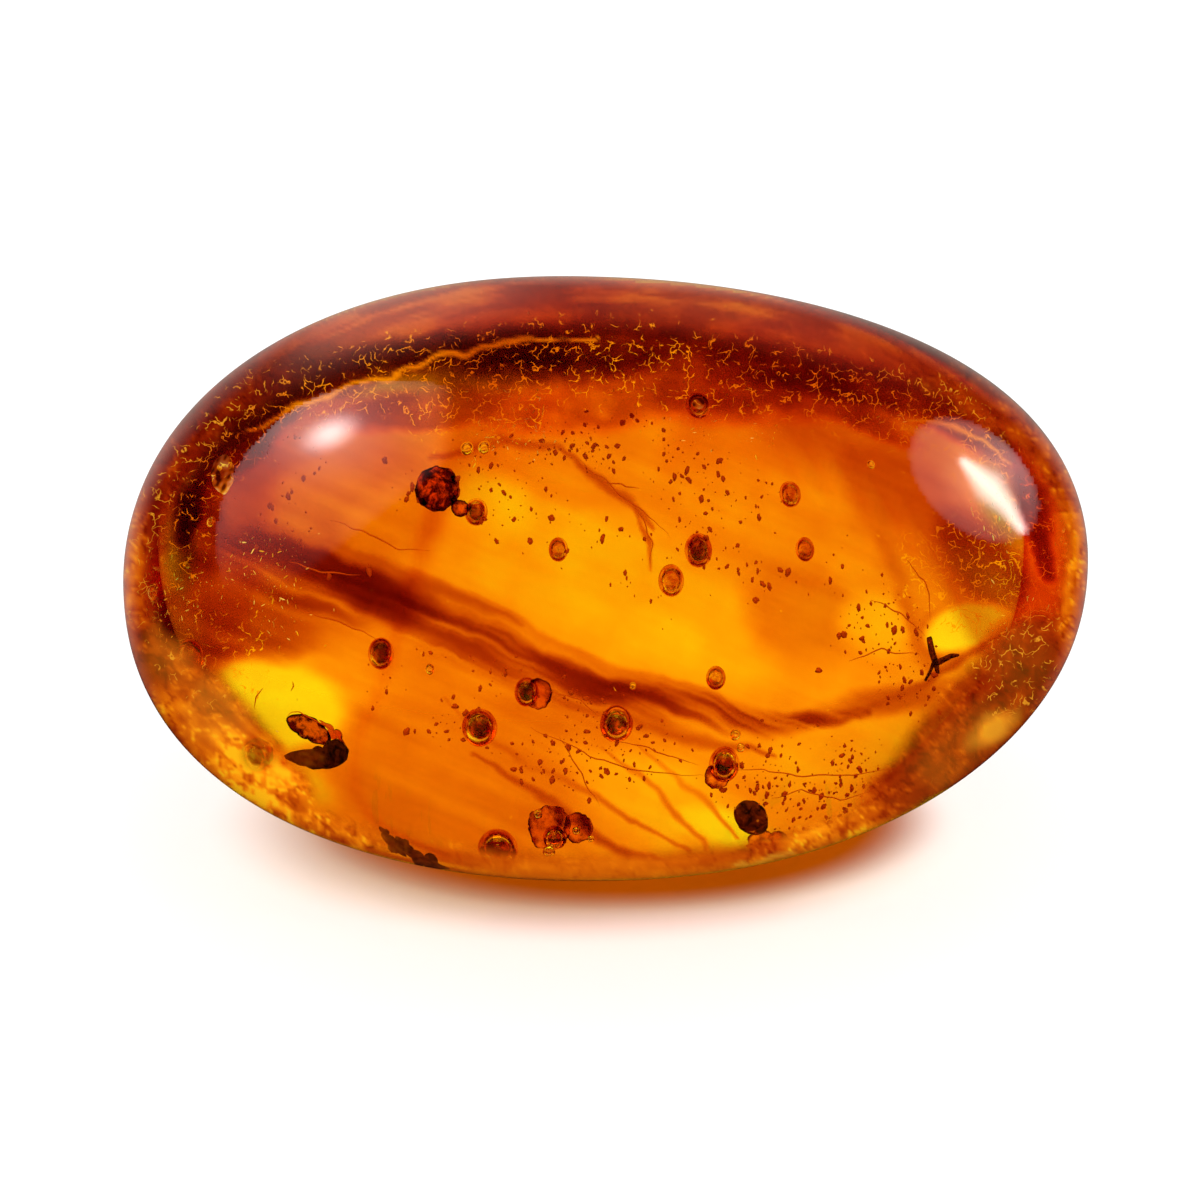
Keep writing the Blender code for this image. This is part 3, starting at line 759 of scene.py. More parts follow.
def veil_material(name, crackle_size):
    """A stained film that tints what passes, with clear cracks, and parts that give out a painted glow in
    place of the light behind them.
    """
    material, nodes, links = new_material(name, bare=True)
    painted = {}
    for layer in ("tint", "crackle", "haze", "cover", "glow"):
        painted[layer] = nodes.new("ShaderNodeAttribute")
        painted[layer].attribute_name = layer
    place = nodes.new("ShaderNodeTexCoord")
    shake = nodes.new("ShaderNodeTexNoise")
    shake.noise_dimensions = "2D"
    shake.inputs["Scale"].default_value = 46.0
    shake.inputs["Detail"].default_value = 3.0
    links.new(place.outputs["UV"], shake.inputs["Vector"])
    moved = nodes.new("ShaderNodeVectorMath")
    moved.operation = "MULTIPLY_ADD"
    moved.inputs[1].default_value = (0.036, 0.036, 0.036)
    links.new(shake.outputs["Color"], moved.inputs[0])
    links.new(place.outputs["UV"], moved.inputs[2])
    net = nodes.new("ShaderNodeTexVoronoi")
    net.feature = "DISTANCE_TO_EDGE"
    net.voronoi_dimensions = "2D"
    net.inputs["Scale"].default_value = 1.0 / crackle_size
    links.new(moved.outputs["Vector"], net.inputs["Vector"])
    line = nodes.new("ShaderNodeMapRange")
    line.interpolation_type = "SMOOTHSTEP"
    line.inputs["From Min"].default_value = 0.075
    line.inputs["From Max"].default_value = 0.015
    links.new(net.outputs["Distance"], line.inputs["Value"])
    breaks = nodes.new("ShaderNodeTexNoise")
    breaks.noise_dimensions = "2D"
    breaks.inputs["Scale"].default_value = 95.0
    breaks.inputs["Detail"].default_value = 2.0
    links.new(place.outputs["UV"], breaks.inputs["Vector"])
    limit = nodes.new("ShaderNodeMapRange")
    limit.inputs["From Min"].default_value = 0.0
    limit.inputs["From Max"].default_value = 1.0
    limit.inputs["To Min"].default_value = 0.75
    limit.inputs["To Max"].default_value = 0.40
    links.new(painted["crackle"].outputs["Fac"], limit.inputs["Value"])
    over = nodes.new("ShaderNodeMath")
    over.operation = "SUBTRACT"
    links.new(breaks.outputs["Fac"], over.inputs[0])
    links.new(limit.outputs["Result"], over.inputs[1])
    pieces = nodes.new("ShaderNodeMapRange")
    pieces.inputs["From Min"].default_value = 0.0
    pieces.inputs["From Max"].default_value = 0.12
    links.new(over.outputs["Value"], pieces.inputs["Value"])
    shown = nodes.new("ShaderNodeMath")
    shown.operation = "MULTIPLY"
    links.new(line.outputs["Result"], shown.inputs[0])
    links.new(pieces.outputs["Result"], shown.inputs[1])
    most = nodes.new("ShaderNodeMath")
    most.operation = "MAXIMUM"
    links.new(shown.outputs["Value"], most.inputs[0])
    links.new(painted["haze"].outputs["Fac"], most.inputs[1])
    clearer = nodes.new("ShaderNodeMix")
    clearer.data_type = "RGBA"
    clearer.inputs[7].default_value = CLEAR_CRACK
    links.new(most.outputs["Value"], clearer.inputs["Factor"])
    links.new(painted["tint"].outputs["Color"], clearer.inputs[6])
    film = nodes.new("ShaderNodeBsdfTransparent")
    links.new(clearer.outputs[2], film.inputs["Color"])
    golden = nodes.new("ShaderNodeMix")
    golden.data_type = "RGBA"
    golden.inputs[7].default_value = PAINTED_GLOW_CRACK
    links.new(most.outputs["Value"], golden.inputs["Factor"])
    links.new(painted["glow"].outputs["Color"], golden.inputs[6])
    # Painted glow: the covered parts give out light of a painted colour
    painted_rim_glow = nodes.new("ShaderNodeEmission")
    links.new(golden.outputs[2], painted_rim_glow.inputs["Color"])
    whole = nodes.new("ShaderNodeMixShader")
    links.new(painted["cover"].outputs["Fac"], whole.inputs["Fac"])
    links.new(film.outputs["BSDF"], whole.inputs[1])
    links.new(painted_rim_glow.outputs["Emission"], whole.inputs[2])
    links.new(whole.outputs["Shader"], nodes["Material Output"].inputs["Surface"])
    material.cycles.emission_sampling = "NONE"
    return material


def rim_fibres(x, y):
    """Random values drawn out along the stone's rim."""
    across = (x - OUTLINE_MIDDLE[0]) / OUTLINE_HALF_WIDTH
    down = (y - OUTLINE_MIDDLE[1]) / OUTLINE_HALF_HEIGHT
    turn = np.arctan2(down, across)
    ring = np.hypot(across, down)
    return cloud(turn * 60.0 + 400.0, ring * 420.0, 9.0, 51, 4)


def rim_glow_depth(x, y):
    """How dark the painted rim glow's colour is: drawn out along the rim, with gold streaks."""
    fibres = rim_fibres(x, y)
    depth = np.full(x.shape, 2.5)
    for middle, radii, angle, value in RIM_GLOW_PARTS:
        depth = lay(depth, spot(x, y, middle, radii, angle, 0.7), value)
    flecks = cloud(x, y, 12.0, 53, 3)
    threads = ease(0.05, 0.0, np.abs(cloud(x, y, 26.0, 55, 4) - 0.5))
    glints = ease(0.04, 0.0, np.abs(cloud(x, y, 20.0, 57, 4) - 0.5))
    rough = 1.0 - 0.75 * spot(x, y, (580.0, 880.0), (260.0, 50.0), 0.0, 0.5)
    change = 2.4 * (fibres - 0.5) + 2.2 * (flecks - 0.5) + 1.2 * threads - 1.0 * glints
    return np.clip(depth + change * rough, 0.1, None)


def rim_glow_cover(x, y, facing):
    """How much the painted rim glow hides: all of it along the rim and at the lower ends."""
    cover = 0.92 * ease(0.50, 0.34, facing) * (0.25 + 0.75 * ease(330.0, 420.0, y))
    for middle, radii, angle, value in RIM_GLOW_ENDS:
        cover = lay(cover, spot(x, y, middle, radii, angle, 0.35), value)
    for middle, radii, angle, value in RIM_GLOW_GAPS:
        cover = lay(cover, spot(x, y, middle, radii, angle, 0.6), value)
    return cover


def haze_amount(x, y):
    """Where fine cracks gather into a golden haze."""
    x = x + 22.0 * (cloud(x, y, 40.0, 41) - 0.5)
    y = y + 22.0 * (cloud(x, y, 40.0, 42) - 0.5)
    amount = np.zeros(x.shape)
    for middle, radii, turn, value in HAZE_CLOUDS:
        amount = lay(amount, spot(x, y, middle, radii, turn, 0.7), value)
    amount = amount * (0.5 + cloud(x, y, 26.0, 43, 4))
    for points in GOLD_LINES:
        amount = lay(amount, streak(x, y, points, 0.9), 0.9)
    return amount


def crackle_amount(x, y):
    """How much the films are cracked: most under the painted shade along the upper edge, and at the ends.
    """
    amount = 0.8 * streak(x, y, CRACKED_EDGE, 0.6)
    amount = lay(amount, spot(x, y, (480.0, 415.0), (110.0, 46.0), 0.0, 0.6), 1.0)
    amount = lay(amount, spot(x, y, (965.0, 580.0), (110.0, 70.0), 30.0, 0.5), 1.0)
    amount = lay(amount, spot(x, y, (215.0, 660.0), (90.0, 90.0), 0.0, 0.6), 0.7)
    amount = lay(amount, spot(x, y, (900.0, 400.0), (130.0, 40.0), 15.0, 0.6), 0.9)
    return amount


def add_veil(name, depth_at, surface, step, stain, red_start, rim_shade_depth=0.0, painted_rim_glow=0.0):
    """A stained film inside the amber, drawn out along the photograph's bent rays."""
    across = np.arange(118.0, 1096.0, step)
    down = np.arange(268.0, 890.0, step)
    x, y, keep = reach_outline(*np.meshgrid(across, down))
    entry, rays, normals = enter_stone(x, y)
    inward = bend_into_stone(rays, normals)
    places = entry + inward * surface(entry, inward)[..., None]
    facing = -(rays * normals).sum(axis=-1)
    depth = depth_at(x, y)
    # Painted shade along the rim, where the skin turns away from the camera, in streaks and in all but the
    # lower part; at the very edge the film's darkness fades out
    rim = ease(0.46, 0.22, facing) * ease(700.0, 560.0, y)
    streaks = 0.35 + 1.15 * ease(0.34, 0.66, rim_fibres(x, y))
    depth = lay(depth, rim * (rim_shade_depth > 0.0), rim_shade_depth * streaks) * ease(0.0, 0.12, facing)
    keep &= np.isfinite(places).all(axis=-1)
    places = np.where(keep[..., None], places, 1.0)
    keep &= stone_form(places) < -0.008
    deeper = depth - red_start
    red_depth = (deeper + np.sqrt(deeper**2 + 0.1)) / 2.0
    # Browner parts of the painted shade, only in the film with the painted rim glow
    for middle, radii, turn, more in BROWN_PARTS:
        red_depth = red_depth + more * painted_rim_glow * spot(x, y, middle, radii, turn, 0.7)
    fades = np.stack((red_depth, depth, depth), axis=-1) * np.array(stain)
    tint = np.exp(-fades)
    # The painted rim glow: how much of the film gives out light, and that light's colour
    cover = rim_glow_cover(x, y, facing) * painted_rim_glow * ease(0.0, 0.14, facing)
    glow = np.exp(-rim_glow_depth(x, y)[..., None] * np.array((0.45, 1.0, 1.2)))
    glow = np.minimum(glow * np.array((1.6, 0.64, 0.010)), 1.25)
    veil, used = grid_object(name, places, np.stack((x, y), axis=-1), keep)
    paint(veil, "tint", tint, used)
    paint(veil, "crackle", crackle_amount(x, y), used)
    paint(veil, "haze", haze_amount(x, y), used)
    paint(veil, "cover", cover, used)
    paint(veil, "glow", glow, used)
    veil.data.materials.append(veil_material(name, CRACKLE_SIZE))
    veil.visible_shadow = False
    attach(veil, "root")


def add_back_veil(stain):
    """Wisps over the stone's back, under its skin, and painted shade along its edge as the camera sees it.
    """
    azimuths = np.radians(np.arange(-104.0, 104.1, 0.8))
    elevations = np.radians(np.arange(-84.0, 84.1, 0.8))
    around, upward = np.meshgrid(azimuths, elevations)
    level = np.cos(upward)
    rays = np.stack((np.sin(around) * level, np.cos(around) * level, np.sin(upward)), axis=-1)
    middle = np.array((0.0, 0.0, MIDDLE_HEIGHT)) * np.ones(rays.shape)
    places = middle + rays * meet_skin(middle, rays, BACK_SHELL)[..., None]
    away = np.array((0.0, math.cos(CAMERA_ELEVATION), -math.sin(CAMERA_ELEVATION)))
    facing = (stone_normal(places) * away).sum(axis=-1)
    x = 600.0 + places[..., 0] / LENGTH * 960.0
    y = 600.0 - (places[..., 2] - MIDDLE_HEIGHT) / FULL_HEIGHT * 600.0 + 300.0 * facing
    wisps = grain(x, y, -14.0, 260.0, 26.0, 61, 3)
    lumps = cloud(x, y, 30.0, 63, 4)
    # Painted shade along the edge of the back as seen from the camera; the cracks follow it too
    edge_shade = ease(0.46, 0.02, facing) * ease(-0.22, 0.0, facing)
    depth = BACK_WISPS * ease(0.53, 0.70, wisps) * ease(0.0, 0.4, facing)
    depth = depth + BACK_EDGE_SHADE * edge_shade * (0.4 + 1.2 * lumps)
    veil, used = grid_object("back_wisps", places, np.stack((x, y), axis=-1), facing > -0.24)
    red_depth = depth * depth / (depth + 0.5)
    fades = np.stack((red_depth, depth, depth), axis=-1) * np.array(stain)
    paint(veil, "tint", np.exp(-fades), used)
    paint(veil, "crackle", 0.8 * edge_shade, used)
    for layer in ("haze", "cover"):
        paint(veil, layer, np.zeros(x.shape), used)
    paint(veil, "glow", np.zeros((*x.shape, 3)), used)
    veil.data.materials.append(veil_material("back_wisps", BACK_CRACKLE_SIZE))
    veil.visible_shadow = False
    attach(veil, "root")


def meet_layer(lift):
    """A rule for how far inside the stone a ray meets the flow layer, lifted or sunk."""

    def reach(entry, inward):
        sine, cosine = math.sin(LAYER_LEAN), math.cos(LAYER_LEAN)
        middle = np.array((0.0, 0.0, MIDDLE_HEIGHT))
        start = entry - middle
        upward = np.array((0.0, sine, cosine))
        forward = np.array((0.0, -cosine, sine))
        x0, xd = start[..., 0], inward[..., 0]
        v0, vd = start @ upward, inward @ upward
        w0, wd = start @ forward, inward @ forward
        square = LAYER_BEND_SIDEWAYS * xd**2 + LAYER_BEND_UPWARDS * vd**2
        linear = 2.0 * (LAYER_BEND_SIDEWAYS * x0 * xd + LAYER_BEND_UPWARDS * v0 * vd) + wd
        rest = LAYER_BEND_SIDEWAYS * x0**2 + LAYER_BEND_UPWARDS * v0**2 + w0
        rest = rest - LAYER_MIDDLE - lift
        root = np.sqrt(np.maximum(linear**2 - 4.0 * square * rest, 0.0))
        first = 2.0 * rest / (-linear + root)
        return np.where((first > 0.0) & (linear**2 > 4.0 * square * rest), first, np.nan)

    return reach


def meet_shell(level):
    """A rule for how far inside the stone a ray meets a shell under the skin."""

    def reach(entry, inward):
        return meet_skin(entry, inward, level)

    return reach


class AmberVeilsSettings(bpy.types.PropertyGroup):
    """The stained films inside the stone"""

    flow_stain: FloatVectorProperty(
        name="Flow stain",
        description="How fast red, green and blue fade as the flow bands get darker",
        size=3,
        min=0.0,
        default=(0.42, 1.0, 1.3),
    )
    # The stain of the painted shade along the upper edge, and of the back's wisps and its painted edge
    # shade
    dark_film_stain: FloatVectorProperty(
        name="Crust stain",
        description="How fast red, green and blue fade as the crust gets darker",
        size=3,
        min=0.0,
        default=(0.48, 1.0, 1.1),
    )


class OBJECT_OT_amber_veils(bpy.types.Operator):
    """Make the flow bands and the painted shade along the upper edge as stained films"""

    bl_idname = "object.amber_veils"
    bl_label = "Flow Bands and Crust"

    def execute(self, context):
        settings = context.scene.amber_veils
        flow = meet_layer(FLOW_FILM_LIFT)
        shade_surface = meet_shell(SHADE_SHELL)
        add_veil("flow_bands", flow_depth, flow, 2.5, settings.flow_stain, 0.9)
        # The painted shade along the upper edge, with painted shade at the rim and the painted rim glow
        add_veil("dark_crust", painted_shade_depth, shade_surface, 3.0, settings.dark_film_stain, 0.5, 1.3, 1.0)
        add_back_veil(settings.dark_film_stain)
        return {"FINISHED"}


def layer_places(x, y, lift=0.0):
    """Points of the flow layer, or above it, that show at these pixels of the photograph."""
    x, y = np.asarray(x, dtype=float), np.asarray(y, dtype=float)
    entry, rays, normals = enter_stone(x, y)
    inward = bend_into_stone(rays, normals)
    return entry + inward * meet_layer(lift)(entry, inward)[..., None]


def forward_axis():
    """The unit vector from the flow layer towards the viewer."""
    return np.array((0.0, -math.cos(LAYER_LEAN), math.sin(LAYER_LEAN)))


def pillow(name, outline, thickness, lift, rough, seed):
    """A closed lump whose outline runs through pixels of the photograph."""
    edge = np.array(outline, dtype=float)
    middle = edge.mean(axis=0)
    away = edge - middle
    angles = np.arctan2(away[:, 1], away[:, 0])
    order = np.argsort(angles)
    radii = np.hypot(away[:, 0], away[:, 1])[order]
    angles = angles[order]
    turns = np.linspace(-math.pi, math.pi, LUMP_SPOKES, endpoint=False)
    reach = np.interp(turns, angles, radii, period=2.0 * math.pi)
    reach = reach * (1.0 + rough * (cloud(turns * 40.0 + 200.0, turns * 0.0, 9.0, seed, 2) - 0.5))
    share = np.sin(np.linspace(0.0, math.pi / 2.0, LUMP_RINGS + 1))[1:]
    x = middle[0] + share[:, None] * reach * np.cos(turns)
    y = middle[1] + share[:, None] * reach * np.sin(turns)
    flat = layer_places(x, y, lift)
    for turn in range(20):
        missed = ~np.isfinite(flat).all(axis=-1)
        x = np.where(missed, middle[0] + 0.95 * (x - middle[0]), x)
        y = np.where(missed, middle[1] + 0.95 * (y - middle[1]), y)
        flat = layer_places(x, y, lift)
    if not np.isfinite(flat).all():
        raise ValueError(name + " reaches past the stone's outline")
    centre = layer_places(middle[0:1], middle[1:2], lift)[0]
    height = np.sqrt(np.maximum(1.0 - share**2, 0.0))[:, None] * np.ones(LUMP_SPOKES)
    lumps = 1.0 + 5.0 * rough * (cloud(x + 300.0, y + 300.0, 7.0, seed + 1, 3) - 0.5)
    forward = forward_axis()
    swell = (height * thickness * lumps)[..., None] * forward
    mesh = bmesh.new()
    tip = mesh.verts.new(centre + forward * thickness)
    tail = mesh.verts.new(centre - forward * thickness)
    upper = [[mesh.verts.new(place) for place in ring] for ring in flat + swell]
    lower = [[mesh.verts.new(place) for place in ring] for ring in (flat - swell)[:-1]]
    lower.append(upper[-1])
    for side, pole in ((upper, tip), (lower, tail)):
        for number in range(LUMP_SPOKES):
            other = (number + 1) % LUMP_SPOKES
            mesh.faces.new((pole, side[0][number], side[0][other]))
            for ring in range(LUMP_RINGS - 1):
                mesh.faces.new(
                    (
                        side[ring][number],
                        side[ring + 1][number],
                        side[ring + 1][other],
                        side[ring][other],
                    )
                )
    bmesh.ops.recalc_face_normals(mesh, faces=mesh.faces)
    if mesh.calc_volume(signed=True) < 0.0:
        bmesh.ops.reverse_faces(mesh, faces=mesh.faces)
    return plain_object(name, mesh)


def add_tube(mesh, places, radii, sides=6):
    """A closed thin tube through points, added to a mesh."""
    rings = []
    count = len(places)
    for number, place in enumerate(places):
        before = places[max(number - 1, 0)]
        after = places[min(number + 1, count - 1)]
        ahead = Vector(after - before).normalized()
        side = ahead.cross(Vector((0.31, 0.57, 0.76))).normalized()
        other = ahead.cross(side)
        ring = []
        for turn in range(sides):
            angle = 2.0 * math.pi * turn / sides
            offset = (side * math.cos(angle) + other * math.sin(angle)) * radii[number]
            ring.append(mesh.verts.new(Vector(place) + offset))
        rings.append(ring)
    for first, second in zip(rings, rings[1:]):
        for turn in range(sides):
            following = (turn + 1) % sides
            mesh.faces.new((first[turn], first[following], second[following], second[turn]))
    mesh.faces.new(rings[0][::-1])
    mesh.faces.new(rings[-1])


def along(points, count):
    """Evenly spaced points on a line through some points."""
    points = np.array(points, dtype=float)
    steps = np.hypot(*np.diff(points[:, :2], axis=0).T)
    marks = np.concatenate(((0.0,), np.cumsum(steps)))
    wanted = np.linspace(0.0, marks[-1], count)
    return np.stack([np.interp(wanted, marks, column) for column in points.T], axis=1)


def stained_film(name, dark, light, size, edge=0.0):
    """A film that only tints what passes, mottled between two colours, darker at its edge."""
    material, nodes, links = new_material(name, bare=True)
    place = nodes.new("ShaderNodeTexCoord")
    mottle = nodes.new("ShaderNodeTexNoise")
    mottle.inputs["Scale"].default_value = 1.0 / size
    mottle.inputs["Detail"].default_value = 3.0
    links.new(place.outputs["Object"], mottle.inputs["Vector"])
    turned = nodes.new("ShaderNodeLayerWeight")
    turned.inputs["Blend"].default_value = 0.5
    less = nodes.new("ShaderNodeMath")
    less.operation = "MULTIPLY_ADD"
    less.inputs[1].default_value = -edge
    links.new(turned.outputs["Facing"], less.inputs[0])
    links.new(mottle.outputs["Fac"], less.inputs[2])
    ramp = nodes.new("ShaderNodeValToRGB")
    stops = ramp.color_ramp.elements
    stops[0].position = 0.42 - 0.35 * edge
    stops[0].color = (*dark, 1.0)
    stops[1].position = 0.62 - 0.35 * edge
    stops[1].color = (*light, 1.0)
    links.new(less.outputs["Value"], ramp.inputs["Fac"])
    film = nodes.new("ShaderNodeBsdfTransparent")
    links.new(ramp.outputs["Color"], film.inputs["Color"])
    links.new(film.outputs["BSDF"], nodes["Material Output"].inputs["Surface"])
    return material


def painted_glint_material():
    """A painted glint on a bubble's wall: it gives out its own light, pale gold with brown folds."""
    material, nodes, links = new_material("bright_bubble_wall", bare=True)
    place = nodes.new("ShaderNodeTexCoord")
    mottle = nodes.new("ShaderNodeTexNoise")
    mottle.inputs["Scale"].default_value = 1.0 / (0.55 * MM)
    mottle.inputs["Detail"].default_value = 1.0
    links.new(place.outputs["Object"], mottle.inputs["Vector"])
    ramp = nodes.new("ShaderNodeValToRGB")
    stops = ramp.color_ramp.elements
    stops[0].position = 0.40
    stops[0].color = (0.16, 0.03, 0.002, 1.0)
    stops[1].position = 0.66
    stops[1].color = (1.0, 0.9, 0.72, 1.0)
    middle = stops.new(0.52)
    middle.color = (0.85, 0.38, 0.03, 1.0)
    links.new(mottle.outputs["Fac"], ramp.inputs["Fac"])
    glow = nodes.new("ShaderNodeEmission")
    links.new(ramp.outputs["Color"], glow.inputs["Color"])
    links.new(glow.outputs["Emission"], nodes["Material Output"].inputs["Surface"])
    material.cycles.emission_sampling = "NONE"
    return material


def debris_material(name, dark, light, size, gold=0.0):
    """Old plant matter: two mottled colours with a few golden glints."""
    material, nodes, links = new_material(name)
    shader = nodes["Principled BSDF"]
    shader.inputs["Roughness"].default_value = 0.6
    shader.inputs["Specular IOR Level"].default_value = 0.0
    place = nodes.new("ShaderNodeTexCoord")
    mottle = nodes.new("ShaderNodeTexNoise")
    mottle.inputs["Scale"].default_value = 1.0 / size
    mottle.inputs["Detail"].default_value = 5.0
    mottle.inputs["Distortion"].default_value = 0.6
    links.new(place.outputs["Object"], mottle.inputs["Vector"])
    ramp = nodes.new("ShaderNodeValToRGB")
    stops = ramp.color_ramp.elements
    stops[0].position = 0.36
    stops[0].color = (*dark, 1.0)
    stops[1].position = 0.60
    stops[1].color = (*light, 1.0)
    if gold > 0.0:
        glint = stops.new(gold)
        glint.color = (0.95, 0.36, 0.03, 1.0)
    links.new(mottle.outputs["Fac"], ramp.inputs["Fac"])
    links.new(ramp.outputs["Color"], shader.inputs["Base Color"])
    bump = nodes.new("ShaderNodeBump")
    bump.inputs["Strength"].default_value = 0.6
    bump.inputs["Distance"].default_value = 0.05 * MM
    links.new(mottle.outputs["Fac"], bump.inputs["Height"])
    links.new(bump.outputs["Normal"], shader.inputs["Normal"])
    return material


def finish_piece(piece, material, slot, *stands_for):
    """Give a piece its material, its body and the solids that it stands for."""
    piece.data.materials.append(material)
    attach(piece, "root")
    if stands_for:
        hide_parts(*stands_for)


# Outlines of the debris, as pixels of the photograph
HUSK_UPPER = (
    (286.0, 719.0), (291.0, 715.0), (299.0, 714.0), (309.0, 716.5), (319.0, 722.0), (326.0, 729.0),
    (331.0, 739.0), (329.0, 745.5), (320.0, 744.0), (308.0, 739.0), (297.0, 733.0), (289.0, 727.0),
)
HUSK_LOWER = (
    (283.5, 756.5), (290.0, 752.5), (300.0, 750.5), (311.0, 750.5), (322.0, 748.5), (328.0, 742.0),
    (331.0, 734.5), (338.0, 738.5), (343.0, 742.5), (349.0, 750.0), (347.0, 760.0), (337.0, 766.5),
    (322.0, 768.0), (306.0, 766.0), (293.0, 761.5),
)
HUSK_STRIP = (
    (318.0, 719.0), (326.0, 723.0), (334.0, 730.0), (342.0, 739.0), (347.0, 747.0), (338.0, 738.0),
    (328.0, 729.0),
)
LEAF_OUTLINES = (
    ((379.0, 826.0), (384.0, 829.0), (389.0, 835.0), (394.0, 841.0), (388.0, 840.0), (382.0, 833.0)),
    ((381.0, 833.0), (388.0, 835.0), (396.0, 842.0), (404.0, 851.0), (407.0, 857.0), (398.0, 853.0),
     (388.0, 844.0)),
    ((395.0, 836.0), (402.0, 839.0), (409.0, 845.0), (415.0, 853.0), (410.0, 853.0), (402.0, 846.0)),
    ((402.0, 848.0), (412.0, 849.0), (424.0, 856.0), (438.0, 863.0), (452.0, 869.0), (440.0, 869.0),
     (424.0, 865.0), (411.0, 858.0)),
)
SLIVER_LINES = (
    ((929.0, 637.0, 3.0), (932.0, 652.0, 4.5), (936.0, 664.0, 4.0), (938.0, 674.0, 2.0)),
    ((935.0, 664.0, 4.0), (943.0, 660.0, 3.4), (951.0, 656.0, 2.4), (959.0, 655.0, 1.2)),
    ((934.0, 662.0, 2.6), (930.0, 672.0, 2.4), (925.0, 681.0, 1.4)),
)
CRUMB_OUTLINE = (
    (734.0, 812.0), (739.0, 804.0), (749.0, 801.0), (760.0, 805.0), (767.0, 815.0), (768.0, 827.0),
    (760.0, 834.0), (748.0, 833.0), (738.0, 825.0),
)
CRUMB_TAIL = (
    (747.0, 836.0), (758.0, 832.0), (772.0, 833.0), (788.0, 838.0), (800.0, 843.0), (795.0, 851.0),
    (778.0, 856.0), (760.0, 856.0), (749.0, 848.0),
)
CLOT_OUTLINE = (
    (415.0, 489.0), (419.0, 476.0), (428.0, 468.0), (441.0, 467.0), (452.0, 470.0), (459.0, 481.0),
    (460.0, 493.0), (452.0, 504.0), (441.0, 511.0), (428.0, 509.0), (419.0, 501.0),
)
CLOT_NECK = ((452.0, 502.0), (461.0, 500.0), (468.0, 505.0), (468.0, 513.0), (459.0, 517.0), (452.0, 511.0))
# Bubbles that show a painted glint
PAINTED_GLINT_BUBBLES = (
    ((226.0, 454.0), (232.0, 462.0), (233.0, 474.0), (230.0, 487.0), (224.0, 495.0), (217.0, 490.0),
     (212.0, 478.0), (213.0, 466.0), (219.0, 457.0)),
    ((692.0, 402.0), (698.0, 398.0), (705.0, 401.0), (704.0, 407.0), (697.0, 409.0)),
)
LUMPS = (
    ((530.0, 815.0), (542.0, 807.0), (556.0, 806.0), (566.0, 812.0), (570.0, 826.0), (566.0, 842.0),
     (553.0, 850.0), (538.0, 847.0), (529.0, 832.0)),
    ((566.0, 818.0), (576.0, 813.0), (588.0, 818.0), (593.0, 829.0), (586.0, 840.0), (573.0, 842.0)),
    ((522.0, 684.0), (534.0, 679.0), (548.0, 683.0), (552.0, 697.0), (544.0, 708.0), (527.0, 705.0)),
    ((243.0, 746.0), (254.0, 739.0), (266.0, 741.0), (273.0, 752.0), (270.0, 764.0), (258.0, 769.0),
     (246.0, 762.0)),
    ((706.0, 770.0), (716.0, 765.0), (727.0, 770.0), (729.0, 781.0), (718.0, 789.0), (706.0, 783.0)),
)


class AmberHuskSettings(bpy.types.PropertyGroup):
    """The seed husk"""

    brown_deep: colour_setting("Brown valve, deep", "Where its skin is thick", (0.10, 0.008, 0.002))
    brown_thin: colour_setting("Brown valve, thin", "Where light comes through", (0.80, 0.36, 0.07))
    dark_deep: colour_setting("Dark valve, deep", "Its darker mottles", (0.008, 0.002, 0.001))
    dark_pale: colour_setting("Dark valve, pale", "Its paler mottles", (0.07, 0.012, 0.004))


class OBJECT_OT_amber_husk(bpy.types.Operator):
    """Make the open seed husk with its two valves and a dark strip"""

    bl_idname = "object.amber_husk"
    bl_label = "Seed Husk"

    def execute(self, context):
        tones = context.scene.amber_husk
        brown = stained_film("brown_husk_skin", tones.brown_deep, tones.brown_thin, 0.4 * MM, 0.5)
        dark = debris_material("dark_husk_skin", tones.dark_deep, tones.dark_pale, 0.3 * MM)
        upper = pillow("husk_upper", HUSK_UPPER, 0.55 * MM, 0.0, 0.04, 3)
        finish_piece(upper, brown, "brown_husk", "husk_upper_valve")
        lower = pillow("husk_lower", HUSK_LOWER, 0.6 * MM, 0.0, 0.06, 4)
        finish_piece(lower, dark, "dark_husk", "husk_lower_valve")
        strip = pillow("husk_strip", HUSK_STRIP, 0.12 * MM, 0.3 * MM, 0.05, 5)
        finish_piece(strip, brown, "dark_husk")
        return {"FINISHED"}


class AmberDebrisSettings(bpy.types.PropertyGroup):
    """The leaf, the bark and the old resin"""

    leaf_deep: colour_setting("Leaf, deep", "Its darker mottles", (0.012, 0.003, 0.001))
    leaf_pale: colour_setting("Leaf, pale", "Its paler mottles", (0.12, 0.022, 0.006))
    bark_deep: colour_setting("Bark fork, deep", "Its darker mottles", (0.016, 0.003, 0.001))
    bark_pale: colour_setting("Bark fork, pale", "Its paler mottles", (0.18, 0.022, 0.006))
    crumb_deep: colour_setting("Bark lump, deep", "Its darker mottles", (0.014, 0.003, 0.001))
    crumb_pale: colour_setting("Bark lump, pale", "Its paler mottles", (0.17, 0.025, 0.006))
    tail_deep: colour_setting("Bark lump's tail, deep", "Where it is thick", (0.20, 0.02, 0.003))
    tail_thin: colour_setting("Bark lump's tail, thin", "Where it is thin", (0.97, 0.6, 0.2))
    clot_deep: colour_setting("Clot, deep", "Where it is thick", (0.10, 0.003, 0.001))
    clot_thin: colour_setting("Clot, thin", "Where it is thin", (0.92, 0.48, 0.14))
    lump_deep: colour_setting("Resin lumps, deep", "Where they are thick", (0.30, 0.05, 0.008))
    lump_thin: colour_setting("Resin lumps, thin", "Where they are thin", (0.98, 0.74, 0.36))


